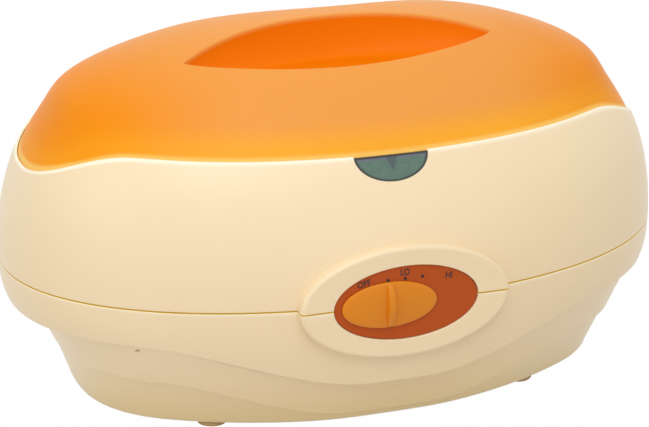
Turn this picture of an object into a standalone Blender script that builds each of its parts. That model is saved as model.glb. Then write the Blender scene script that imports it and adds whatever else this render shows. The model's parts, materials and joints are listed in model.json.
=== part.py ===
"""Paraffin bath: heated oval wax tank in a two-part housing with a lift-off lid.

Blender 4.5, metres, +Z up. X runs along the long side, -Y is the front.
The origin lies on the table under the middle of the whole object's box.
"""
import bpy
import bmesh
from math import sin, cos, pi, radians, copysign
from mathutils import Vector, Matrix

# Overall form: an oval egg, widest at the parting line between the housings
BODY_HALF_LENGTH = 0.189
BODY_HALF_DEPTH = 0.1205
PARTING_HEIGHT = 0.080
TOTAL_HEIGHT = 0.2068
PLAN_POWER_PARTING = 2.14      # roundness of the oval, 2 is an ellipse
PLAN_POWER_CROWN = 2.45
CROWN_POWER = 2.2              # how late the dome starts to close in
CROWN_END_SHARE = 0.3125       # how square the dome is seen from the front
CROWN_SIDE_SHARE = 0.588       # the same seen from the end

# Clearances
FIT_GAP = 0.0003
SEAM_GAP = 0.0008
OVERRUN = 0.004

# Housing walls
WALL = 0.0026
LIP_WIDTH = 0.0015
LIP_HEIGHT = 0.003

# Wavy rim where the lid sits
LID_RISE = 0.0523               # crown above the rim in the middle of the front
RIM_END_DROP = 0.0145           # how much lower the rim is at the ends
RIM_WAVE_START_SHARE = 0.80
RIM_WAVE_END_SHARE = 1.0
RIM_WIDTH = 0.0018
RIM_ROUND = 0.0009
SHOULDER_DEPTH = 0.0025
SHOULDER_WIDTH = 0.0036

# Stepped skirt of the lower housing
BASE_CLEARANCE = 0.003
END_TUCK = 0.128               # run of the end profile, had it gone on to the table
END_TUCK_POWER = 2.76
SIDE_TUCK = 0.0267
SIDE_TUCK_POWER = 1.26
UPPER_LEDGE_END = 0.058
UPPER_LEDGE_FRONT = 0.0288
UPPER_LEDGE_SHARES = (0.055, 0.716)
LOWER_LEDGE_END = 0.0298
LOWER_LEDGE_FRONT = 0.0084
LOWER_LEDGE_SHARES = (0.242, 0.715)
UPPER_LEDGE_STEP = 0.0031
LOWER_LEDGE_STEP = 0.0009
MIDDLE_BAND_END_SLOPE = 0.71
MIDDLE_BAND_SIDE_SLOPE = 0.31
FOOT_BAND_END_SLOPE = 0.30
FOOT_BAND_SIDE_SLOPE = 0.566
BASE_ROUND_HEIGHT = 0.0041
BASE_ROUND_RUN = 0.0055

# Control boss on the front, its oval plate and the slide knob
BOSS_HALF_LENGTH = 0.057
BOSS_HALF_HEIGHT = 0.0298
BOSS_PROUD = 0.0023            # in front of the widest line of the body
BOSS_BACK = 0.0145             # behind the widest line
BOSS_ROUND = 0.0018
PLATE_HALF_LENGTH = 0.0399
PLATE_HALF_HEIGHT = 0.0210
PLATE_THICKNESS = 0.0025
PLATE_SINK = 0.0010
PLATE_SEAT_WIDTH = 0.0024
KNOB_HALF_LENGTH = 0.0262
KNOB_HALF_HEIGHT = 0.0126
KNOB_EDGE_THICKNESS = 0.0022
KNOB_CREST_HEIGHT = 0.0062
KNOB_CREST_HALF_WIDTH = 0.0021
KNOB_TRAVEL = 0.0192
STEM_LENGTH = 0.0080
STEM_HEIGHT = 0.0060
CARRIAGE_HALF_LENGTH = 0.0150
CARRIAGE_HALF_HEIGHT = 0.0080
CARRIAGE_THICKNESS = 0.0040
SWITCH_HALF_LENGTH = 0.0200
SWITCH_HALF_HEIGHT = 0.0060
SWITCH_DEPTH = 0.0110
LEVER_SIZE = 0.0040
LEVER_REACH = 0.0030
BRACKET_THICKNESS = 0.0015
BRACKET_HALF_LENGTH = 0.0480
BRACKET_HALF_HEIGHT = 0.0100
BRACKET_DROP = 0.0060
POST_RADIUS = 0.0040
BRACKET_POST_X = 0.0430

# Half-moon indicator window under the front rim
LENS_HALF_WIDTH = 0.0201
LENS_DROP = 0.0125
LENS_TOP_SINK = 0.0012
LENS_THICKNESS = 0.0013
LENS_POCKET = 0.0017
WINDOW_HALF_WIDTH = 0.0130
WINDOW_HEIGHT = 0.0060
LAMP_RADIUS = 0.0020
LAMP_LENGTH = 0.0060
LAMP_SPACING = 0.0160
LAMP_BOARD_LENGTH = 0.0420
LAMP_BOARD_DEPTH = 0.0064
LAMP_BOARD_THICKNESS = 0.0012
LAMP_SHELF_THICKNESS = 0.0025

# Lid
LID_WALL = 0.0024
LID_GAP = 0.0004
SCOOP_HALF_LENGTH = 0.0890
SCOOP_TIP_Y = 0.0340
SCOOP_NEAR_Y = 0.0535
SCOOP_FAR_Y = 0.0065
SCOOP_DEPTH = 0.0240           # below the top of the lid
SCOOP_FLOOR_SHARE = 0.62

# Wax tank
TANK_END_ROOM = 0.0410          # from the tank to the widest line of the body
TANK_SIDE_ROOM = 0.0425
TANK_POWER = 2.3
TANK_WALL = 0.0015
TANK_SEAT_SINK = 0.0070         # below the lowest part of the rim
TANK_FLANGE_WIDTH = 0.0075
TANK_FLOOR_HEIGHT = 0.0400     # outside of the floor
TANK_TAPER = 0.0150
TANK_CORNER = 0.0140
SEAT_THICKNESS = 0.0025
GASKET_THICKNESS = 0.0012
GASKET_WIDTH = 0.0050
GRATE_HEIGHT = 0.0050
GRATE_THICKNESS = 0.0020
GRATE_MARGIN = 0.0070
GRATE_SLOT_WIDTH = 0.0080
GRATE_BAR_WIDTH = 0.0140
GRATE_BORDER = 0.0100
GRATE_LEG_SHARES = (0.60, 0.55)  # where the legs stand, along and across

# Heater stack under the tank
HEATER_HALF_LENGTH = 0.1050
HEATER_HALF_DEPTH = 0.0440
HEATER_THICKNESS = 0.0040
HEATER_HOLE_HALF_LENGTH = 0.0250
HEATER_HOLE_HALF_DEPTH = 0.0120
CLAMP_THICKNESS = 0.0012
CLAMP_MARGIN = 0.0030
STUD_RADIUS = 0.0020
STUD_END_ROOM = 0.0300          # from the heater's edge
STUD_SIDE_ROOM = 0.0220
STUD_REACH = 0.0050
NUT_RADIUS = 0.0040
NUT_HEIGHT = 0.0032
THERMOSTAT_CAP_RADIUS = 0.0085
THERMOSTAT_BODY_RADIUS = 0.0070
THERMOSTAT_BODY_HEIGHT = 0.0060
THERMOSTAT_SPACING = 0.0220
THERMOSTAT_TAB_LENGTH = 0.0060
THERMOSTAT_TAB_WIDTH = 0.0040
THERMOSTAT_TAB_THICKNESS = 0.0008
FUSE_RADIUS = 0.0022
FUSE_LENGTH = 0.0140
FUSE_X = 0.0500
FUSE_CLIP_WALL = 0.0010
FUSE_CLIP_WIDTH = 0.0080
FUSE_CLIP_FOOT = 0.0060
BLANKET_THICKNESS = 0.0050
BLANKET_LIFT = 0.0200           # above the tank's floor
BLANKET_TOP_ROOM = 0.0090       # below the tank's seat
SHIELD_HEIGHT = 0.0190
SHIELD_THICKNESS = 0.0008
SHIELD_END_MARGIN = 0.0100      # beyond the heater's edge
SHIELD_SIDE_MARGIN = 0.0060
SHIELD_POST_END_ROOM = 0.0300   # from the shield's edge
SHIELD_POST_SIDE_ROOM = 0.0200

# Housing screws, feet, cord gland and terminal block
PILLAR_END_ROOM = 0.061         # from the widest line of the body
PILLAR_SIDE_ROOM = 0.0445
PILLAR_RADIUS = 0.0052
PILLAR_RUN_IN = 0.001           # above the tank's seat, inside the wall
SCREW_RADIUS = 0.0016
SCREW_HEAD_RADIUS = 0.0030
SCREW_HEAD_HEIGHT = 0.0022
SCREW_LENGTH = 0.0240
SCREW_SEAT_SINK = 0.0160        # below the parting line
SCREW_HOLE_GAP = 0.0004
SMALL_SCREW_LENGTH = 0.0070
FOOT_END_ROOM = 0.099           # from the widest line of the body
FOOT_SIDE_ROOM = 0.0585
FOOT_RADIUS = 0.0072
FOOT_SPIGOT_RADIUS = 0.0030
FOOT_SPIGOT_HEIGHT = 0.0040
GLAND_X = 0.0
GLAND_HEIGHT = 0.046
GLAND_SEAT_DEPTH = 0.0085      # seat plane, inwards from the widest line
GLAND_BOSS_RADIUS = 0.0135
GLAND_BOSS_DEPTH = 0.0100
GLAND_FLANGE_RADIUS = 0.0105
GLAND_FLANGE_THICKNESS = 0.0020
GLAND_BODY_RADIUS = 0.0065
GLAND_BORE_RADIUS = 0.0042
GLAND_NUT_RADIUS = 0.0100
GLAND_NUT_HEIGHT = 0.0040
BLOCK_LENGTH = 0.0400
BLOCK_DEPTH = 0.0120
BLOCK_HEIGHT = 0.0110
BLOCK_X = -0.035
BLOCK_SIDE_ROOM = 0.0565        # from the widest line of the body
BLOCK_SCREW_PITCH = 0.0100
WIRE_RADIUS = 0.0011
WIRE_BEND = 0.0080

AROUND = 48                    # facets around the housings and the lid
AROUND_TANK = 34
AROUND_INNER = 24
PLATE_FACETS = 36
ROUND_FACETS = 14
SMALL_FACETS = 8

# Places that follow from the sizes above
RIM_HEIGHT = TOTAL_HEIGHT - LID_RISE
RIM_END_HEIGHT = RIM_HEIGHT - RIM_END_DROP
TANK_SEAT_HEIGHT = RIM_END_HEIGHT - TANK_SEAT_SINK
TANK_HALF_LENGTH = BODY_HALF_LENGTH - TANK_END_ROOM
TANK_HALF_DEPTH = BODY_HALF_DEPTH - TANK_SIDE_ROOM
BLANKET_BOTTOM = TANK_FLOOR_HEIGHT + BLANKET_LIFT
BLANKET_TOP = TANK_SEAT_HEIGHT - BLANKET_TOP_ROOM
STUD_X = HEATER_HALF_LENGTH - STUD_END_ROOM
STUD_Y = HEATER_HALF_DEPTH - STUD_SIDE_ROOM
SHIELD_HALF_LENGTH = HEATER_HALF_LENGTH + SHIELD_END_MARGIN
SHIELD_HALF_DEPTH = HEATER_HALF_DEPTH + SHIELD_SIDE_MARGIN
SHIELD_POST_X = SHIELD_HALF_LENGTH - SHIELD_POST_END_ROOM
SHIELD_POST_Y = SHIELD_HALF_DEPTH - SHIELD_POST_SIDE_ROOM
PILLAR_X = BODY_HALF_LENGTH - PILLAR_END_ROOM
PILLAR_Y = BODY_HALF_DEPTH - PILLAR_SIDE_ROOM
PILLAR_TOP = TANK_SEAT_HEIGHT + PILLAR_RUN_IN
SCREW_SEAT_HEIGHT = PARTING_HEIGHT - SCREW_SEAT_SINK
FOOT_X = BODY_HALF_LENGTH - FOOT_END_ROOM
FOOT_Y = BODY_HALF_DEPTH - FOOT_SIDE_ROOM
BLOCK_Y = BODY_HALF_DEPTH - BLOCK_SIDE_ROOM
BOSS_FACE = BODY_HALF_DEPTH + BOSS_PROUD
BOSS_BACK_FACE = BODY_HALF_DEPTH - BOSS_BACK
PLATE_FACE = BOSS_FACE - PLATE_SINK
PLATE_BACK = PLATE_FACE - PLATE_THICKNESS
KNOB_BACK = PLATE_FACE + FIT_GAP
KNOB_FRONT = KNOB_BACK + KNOB_CREST_HEIGHT
KNOB_REST_X = -KNOB_TRAVEL / 2
CARRIAGE_FRONT = PLATE_BACK - FIT_GAP
CARRIAGE_BACK = CARRIAGE_FRONT - CARRIAGE_THICKNESS
SWITCH_FRONT = CARRIAGE_BACK - LEVER_REACH
SWITCH_BACK = SWITCH_FRONT - SWITCH_DEPTH
BRACKET_FRONT = SWITCH_BACK - FIT_GAP
LID_INSET = RIM_WIDTH + LID_GAP
DEPTH_SHIFT = (KNOB_FRONT - BODY_HALF_DEPTH) / 2
UPPER_BOTTOM = PARTING_HEIGHT + SEAM_GAP / 2
LOWER_TOP = PARTING_HEIGHT - SEAM_GAP / 2
FLANGE_HALF_LENGTH = TANK_HALF_LENGTH + TANK_FLANGE_WIDTH
FLANGE_HALF_DEPTH = TANK_HALF_DEPTH + TANK_FLANGE_WIDTH
FLANGE_BOTTOM = TANK_SEAT_HEIGHT + GASKET_THICKNESS + 2 * FIT_GAP
FLANGE_TOP = FLANGE_BOTTOM + TANK_WALL
HEATER_TOP = TANK_FLOOR_HEIGHT - FIT_GAP
HEATER_BOTTOM = HEATER_TOP - HEATER_THICKNESS
CLAMP_TOP = HEATER_BOTTOM - FIT_GAP
CLAMP_BOTTOM = CLAMP_TOP - CLAMP_THICKNESS
FLOOR_TOP = BASE_CLEARANCE + WALL
STUD_BOTTOM = CLAMP_BOTTOM - STUD_REACH


# Scene and mesh helpers

def clear_scene():
    for obj in list(bpy.data.objects):
        bpy.data.objects.remove(obj, do_unlink=True)


def new_collection(name):
    group = bpy.data.collections.new(name)
    bpy.context.scene.collection.children.link(group)
    return group


def material(name, color, roughness, metallic=0.0, alpha=1.0):
    mat = bpy.data.materials.new(name)
    mat.use_nodes = True
    shader = mat.node_tree.nodes["Principled BSDF"]
    shader.inputs["Base Color"].default_value = (*color, 1.0)
    shader.inputs["Roughness"].default_value = roughness
    shader.inputs["Metallic"].default_value = metallic
    shader.inputs["Alpha"].default_value = alpha
    return mat


def object_from_bmesh(name, bm, group, mat=None, smooth_angle=radians(35)):
    mesh = bpy.data.meshes.new(name)
    bmesh.ops.recalc_face_normals(bm, faces=bm.faces)
    bm.to_mesh(mesh)
    bm.free()
    mesh.shade_smooth()
    mesh.set_sharp_from_angle(angle=smooth_angle)
    obj = bpy.data.objects.new(name, mesh)
    if mat:
        mesh.materials.append(mat)
    group.objects.link(obj)
    return obj


def signed_power(value, power):
    return copysign(abs(value) ** power, value)


def oval(half_length, half_depth, power, height, count):
    """Points of a superellipse in a level plane."""
    points = []
    for k in range(count):
        angle = 2 * pi * k / count
        x = half_length * signed_power(cos(angle), 2 / power)
        y = half_depth * signed_power(sin(angle), 2 / power)
        points.append((x, y, height))
    return points


def loft(name, rings, group, mat=None, closed=False, smooth_angle=radians(35)):
    """Skin a list of rings; closed joins last to first, otherwise both ends are capped."""
    bm = bmesh.new()
    loops = [[bm.verts.new(p) for p in ring] for ring in rings]
    pairs = list(zip(loops, loops[1:]))
    if closed:
        pairs.append((loops[-1], loops[0]))
    for low, high in pairs:
        for k in range(len(low)):
            j = (k + 1) % len(low)
            bm.faces.new((low[k], low[j], high[j], high[k]))
    if not closed:
        bm.faces.new(loops[0])
        bm.faces.new(loops[-1])
    bmesh.ops.triangulate(bm, faces=bm.faces)
    return object_from_bmesh(name, bm, group, mat, smooth_angle)


def box(name, low, high, group, mat=None):
    bm = bmesh.new()
    bmesh.ops.create_cube(bm, size=1.0)
    size = Vector(high) - Vector(low)
    middle = (Vector(high) + Vector(low)) / 2
    bmesh.ops.transform(bm, matrix=Matrix.Translation(middle) @ Matrix.Diagonal((*size, 1)), verts=bm.verts)
    return object_from_bmesh(name, bm, group, mat)


def add_cylinder(bm, radius, base, length, direction="Z", facets=ROUND_FACETS, radius_end=None):
    """Add a cylinder or cone that starts at base and runs along +direction."""
    turn = {"Z": Matrix.Identity(4), "Y": Matrix.Rotation(-pi / 2, 4, "X"),
            "X": Matrix.Rotation(pi / 2, 4, "Y")}[direction]
    along = turn @ Vector((0, 0, length / 2))
    place = Matrix.Translation(Vector(base) + along) @ turn
    end = radius if radius_end is None else radius_end
    bmesh.ops.create_cone(bm, cap_ends=True, segments=facets, radius1=radius, radius2=end,
                          depth=length, matrix=place)


def cylinder(name, radius, base, length, group, mat=None, direction="Z", facets=ROUND_FACETS):
    bm = bmesh.new()
    add_cylinder(bm, radius, base, length, direction, facets)
    return object_from_bmesh(name, bm, group, mat)


def hide_tool(obj):
    obj.hide_render = True
    obj.display_type = "WIRE"
    return obj


def combine(target, tool, operation):
    """Boolean of the target with a hidden tool object."""
    hide_tool(tool)
    mod = target.modifiers.new(tool.name, "BOOLEAN")
    mod.operation = operation
    mod.solver = "EXACT"
    mod.object = tool
    return mod


def upright_oval(name, half_length, half_height, front, back, centre_z, group, mat=None, edge=0.0, centre_x=0.0):
    """Oval slab that faces the front, from y = -front to y = -back, with an optional eased front edge."""
    steps = [(back, 0.0), (front - edge, 0.0)]
    if edge:
        steps += [(front - edge * (1 - sin(a)), edge * (1 - cos(a))) for a in (pi / 4, pi / 2)]
    rings = []
    for depth, inset in steps:
        ring = oval(half_length - inset, half_height - inset, 2.0, 0, PLATE_FACETS)
        rings.append([(centre_x + x, -depth, centre_z + z) for x, z, _ in ring])
    return loft(name, rings, group, mat)


# The shared outer form

def ease(value):
    value = min(max(value, 0.0), 1.0)
    return value * value * (3 - 2 * value)


def dome_axes(height):
    """Half length, half depth and roundness of the dome at a height above the parting line."""
    rise = min(max((height - PARTING_HEIGHT) / (TOTAL_HEIGHT - PARTING_HEIGHT), 0.0), 1.0)
    left = 1 - rise ** CROWN_POWER
    power = PLAN_POWER_PARTING + (PLAN_POWER_CROWN - PLAN_POWER_PARTING) * rise
    return BODY_HALF_LENGTH * left ** CROWN_END_SHARE, BODY_HALF_DEPTH * left ** CROWN_SIDE_SHARE, power


def end_share(angle):
    """0 at the middle of the front and back, 1 at the two ends."""
    return abs(cos(angle)) ** (2 / PLAN_POWER_PARTING)


def rim_height(angle):
    drop = ease((end_share(angle) - RIM_WAVE_START_SHARE) / (RIM_WAVE_END_SHARE - RIM_WAVE_START_SHARE))
    return RIM_HEIGHT - (RIM_HEIGHT - RIM_END_HEIGHT) * drop


def wavy_height(angle, at_end, at_front, shares):
    return at_front + (at_end - at_front) * ease((end_share(angle) - shares[0]) / (shares[1] - shares[0]))


def dome_point(angle, height, inset):
    half_length, half_depth, power = dome_axes(height)
    x = (half_length - inset) * signed_power(cos(angle), 2 / power)
    y = (half_depth - inset) * signed_power(sin(angle), 2 / power)
    return (x, y, height)


def dome_ring(height_at, inset, count=AROUND):
    """Ring on the dome whose height may change around the body."""
    angles = [2 * pi * k / count for k in range(count)]
    return [dome_point(a, height_at(a), inset) for a in angles]


def level(height):
    return lambda angle: height


def below_rim(depth):
    return lambda angle: rim_height(angle) - depth


def part_way_up(share, low, depth_below_rim):
    return lambda angle: low + (rim_height(angle) - depth_below_rim - low) * share


def skirt_point(angle, height, band, inset, lift):
    """Point on the stepped skirt. Band 0, 1 or 2 counts down from the parting line."""
    upper = wavy_height(angle, UPPER_LEDGE_END, UPPER_LEDGE_FRONT, UPPER_LEDGE_SHARES) + lift
    lower = wavy_height(angle, LOWER_LEDGE_END, LOWER_LEDGE_FRONT, LOWER_LEDGE_SHARES) + lift
    drop = (PARTING_HEIGHT - max(height, upper)) / PARTING_HEIGHT
    half_length = BODY_HALF_LENGTH - END_TUCK * drop ** END_TUCK_POWER
    half_depth = BODY_HALF_DEPTH - SIDE_TUCK * drop ** SIDE_TUCK_POWER
    if band >= 1:
        fall = upper - max(height, lower)
        half_length -= UPPER_LEDGE_STEP + MIDDLE_BAND_END_SLOPE * fall
        half_depth -= UPPER_LEDGE_STEP + MIDDLE_BAND_SIDE_SLOPE * fall
    if band >= 2:
        fall = lower - height
        half_length -= LOWER_LEDGE_STEP + FOOT_BAND_END_SLOPE * fall
        half_depth -= LOWER_LEDGE_STEP + FOOT_BAND_SIDE_SLOPE * fall
    x = (half_length - inset) * signed_power(cos(angle), 2 / PLAN_POWER_PARTING)
    y = (half_depth - inset) * signed_power(sin(angle), 2 / PLAN_POWER_PARTING)
    return (x, y, height)


def skirt_rings(inset, lift, top, bottom, steps_per_band=(4, 2, 1)):
    """Rings of the skirt from the top down to the flat bottom."""
    angles = [2 * pi * k / AROUND for k in range(AROUND)]
    rings = []
    for band in range(3):
        count = steps_per_band[band]
        for k in range(count + 1):
            ring = []
            for angle in angles:
                upper = wavy_height(angle, UPPER_LEDGE_END, UPPER_LEDGE_FRONT, UPPER_LEDGE_SHARES) + lift
                lower = wavy_height(angle, LOWER_LEDGE_END, LOWER_LEDGE_FRONT, LOWER_LEDGE_SHARES) + lift
                start = (top, upper, lower)[band]
                stop = (upper, lower, bottom)[band]
                ring.append(skirt_point(angle, start + (stop - start) * k / count, band, inset, lift))
            rings.append(ring)
    return rings


def shrink_ring(ring, inset, height):
    """The same ring drawn in by an inset and set level at a height."""
    half_length = max(p[0] for p in ring)
    half_depth = max(p[1] for p in ring)
    across = (half_length - inset) / half_length
    deep = (half_depth - inset) / half_depth
    return [(x * across, y * deep, height) for x, y, _ in ring]


# Housings

def upper_housing(parts, tools, mat):
    rings = [dome_ring(part_way_up(share, UPPER_BOTTOM, RIM_ROUND), 0.0) for share in (0, 0.25, 0.5, 0.75, 1)]
    rings += [
        dome_ring(below_rim(RIM_ROUND * 0.3), RIM_ROUND * 0.3),
        dome_ring(below_rim(0), RIM_ROUND),
        dome_ring(below_rim(0), RIM_WIDTH),
        dome_ring(below_rim(SHOULDER_DEPTH), RIM_WIDTH),
        dome_ring(below_rim(SHOULDER_DEPTH), RIM_WIDTH + SHOULDER_WIDTH)]
    seat = TANK_SEAT_HEIGHT
    well_length = FLANGE_HALF_LENGTH + FIT_GAP
    well_depth = FLANGE_HALF_DEPTH + FIT_GAP
    mouth_length = TANK_HALF_LENGTH + 2 * FIT_GAP
    mouth_depth = TANK_HALF_DEPTH + 2 * FIT_GAP
    rings += [
        oval(well_length, well_depth, TANK_POWER, FLANGE_TOP + FIT_GAP, AROUND),
        oval(well_length, well_depth, TANK_POWER, seat, AROUND),
        oval(mouth_length, mouth_depth, TANK_POWER, seat, AROUND),
        oval(mouth_length, mouth_depth, TANK_POWER, seat - SEAT_THICKNESS, AROUND),
        oval(well_length + WALL, well_depth + WALL, TANK_POWER, seat - SEAT_THICKNESS, AROUND),
        dome_ring(below_rim(SHOULDER_DEPTH + 2 * WALL), RIM_WIDTH + SHOULDER_WIDTH),
        dome_ring(below_rim(SHOULDER_DEPTH + 2 * WALL), WALL)]
    rings += [dome_ring(part_way_up(share, UPPER_BOTTOM, SHOULDER_DEPTH + 2 * WALL), WALL)
              for share in (0.5, 0)]
    shell = loft("upper_housing", rings, parts, mat, closed=True)

    boss = upright_oval("upper_boss", BOSS_HALF_LENGTH, BOSS_HALF_HEIGHT, BOSS_FACE, BOSS_BACK_FACE,
                        PARTING_HEIGHT, tools, edge=BOSS_ROUND)
    below = box("below_parting", (-BODY_HALF_LENGTH, -BOSS_FACE - OVERRUN, 0),
                (BODY_HALF_LENGTH, 0, UPPER_BOTTOM), tools)
    combine(boss, below, "DIFFERENCE")
    combine(shell, boss, "UNION")

    bm = bmesh.new()
    for sx in (-1, 1):
        for sy in (-1, 1):
            add_cylinder(bm, PILLAR_RADIUS, (sx * PILLAR_X, sy * PILLAR_Y, UPPER_BOTTOM), PILLAR_TOP - UPPER_BOTTOM,
                         facets=SMALL_FACETS)
    combine(shell, object_from_bmesh("screw_pillars", bm, tools), "UNION")
    bm = bmesh.new()
    for sx in (-1, 1):
        for sy in (-1, 1):
            add_cylinder(bm, SCREW_RADIUS + SCREW_HOLE_GAP, (sx * PILLAR_X, sy * PILLAR_Y, UPPER_BOTTOM - OVERRUN),
                         SCREW_SEAT_HEIGHT + SCREW_LENGTH + OVERRUN - UPPER_BOTTOM + OVERRUN, facets=SMALL_FACETS)
    combine(shell, object_from_bmesh("screw_pilots", bm, tools), "DIFFERENCE")

    cut_plate_seat(shell, "upper", tools)
    cut_lens_seat(shell, tools)
    shelf_top = lamp_board_height() - FIT_GAP
    outer_y = -dome_axes(shelf_top)[1]
    shelf = box("lamp_shelf", (-LAMP_BOARD_LENGTH / 2, outer_y + WALL / 2, shelf_top - LAMP_SHELF_THICKNESS),
                (LAMP_BOARD_LENGTH / 2, outer_y + WALL + LAMP_BOARD_DEPTH / 2, shelf_top), tools)
    combine(shell, shelf, "UNION")
    return shell


def cut_plate_seat(shell, side, tools):
    pocket = upright_oval(side + "_plate_pocket", PLATE_HALF_LENGTH + FIT_GAP, PLATE_HALF_HEIGHT + FIT_GAP,
                          BOSS_FACE + OVERRUN, PLATE_BACK - FIT_GAP, PARTING_HEIGHT, tools)
    combine(shell, pocket, "DIFFERENCE")
    opening = upright_oval(side + "_boss_opening", PLATE_HALF_LENGTH - PLATE_SEAT_WIDTH,
                           PLATE_HALF_HEIGHT - PLATE_SEAT_WIDTH, BOSS_FACE, BOSS_BACK_FACE - 2 * OVERRUN,
                           PARTING_HEIGHT, tools)
    combine(shell, opening, "DIFFERENCE")


def half_moon(name, half_width, drop, top, front, back, tools, mat=None):
    """Upright half-moon block with its straight edge on top."""
    count = 16
    rings = []
    for depth in (back, front):
        arc = [(half_width * cos(pi * k / count), -depth, top - drop * sin(pi * k / count)) for k in range(count + 1)]
        rings.append(arc)
    return loft(name, rings, tools, mat)


def skin_band(name, low, high, inset_out, inset_in, tools, mat=None):
    """Thin shell that follows the dome between two heights, for cutting pieces that lie flush in it."""
    steps = 4
    heights = [low + (high - low) * k / steps for k in range(steps + 1)]
    rings = [dome_ring(level(h), inset_out) for h in heights]
    rings += [dome_ring(level(h), inset_in) for h in reversed(heights)]
    return loft(name, rings, tools, mat, closed=True)


def lens_top():
    return RIM_HEIGHT - LENS_TOP_SINK


def cut_lens_seat(shell, tools):
    """Pocket for the half-moon lens, open at the rim, and the light window behind it."""
    top = lens_top()
    pocket = half_moon("lens_pocket", LENS_HALF_WIDTH + FIT_GAP, LENS_DROP + FIT_GAP, top,
                       BODY_HALF_DEPTH, TANK_HALF_DEPTH, tools)
    band = skin_band("lens_pocket_band", top - LENS_DROP - OVERRUN, top + OVERRUN / 2, -OVERRUN, LENS_POCKET, tools)
    combine(pocket, band, "INTERSECT")
    combine(shell, pocket, "DIFFERENCE")
    notch = box("lens_notch", (-LENS_HALF_WIDTH - FIT_GAP, -BODY_HALF_DEPTH, top - FIT_GAP),
                (LENS_HALF_WIDTH + FIT_GAP, -dome_axes(RIM_HEIGHT)[1] + RIM_WIDTH + FIT_GAP / 2,
                 RIM_HEIGHT + OVERRUN), tools)
    combine(shell, notch, "DIFFERENCE")
    window_top = RIM_HEIGHT - SHOULDER_DEPTH - 2 * WALL - FIT_GAP
    front = dome_axes(window_top - WINDOW_HEIGHT)[1]
    window = box("lamp_window", (-WINDOW_HALF_WIDTH, -front - OVERRUN, window_top - WINDOW_HEIGHT),
                 (WINDOW_HALF_WIDTH, -dome_axes(window_top)[1] + WALL + FIT_GAP, window_top), tools)
    combine(shell, window, "DIFFERENCE")


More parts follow.
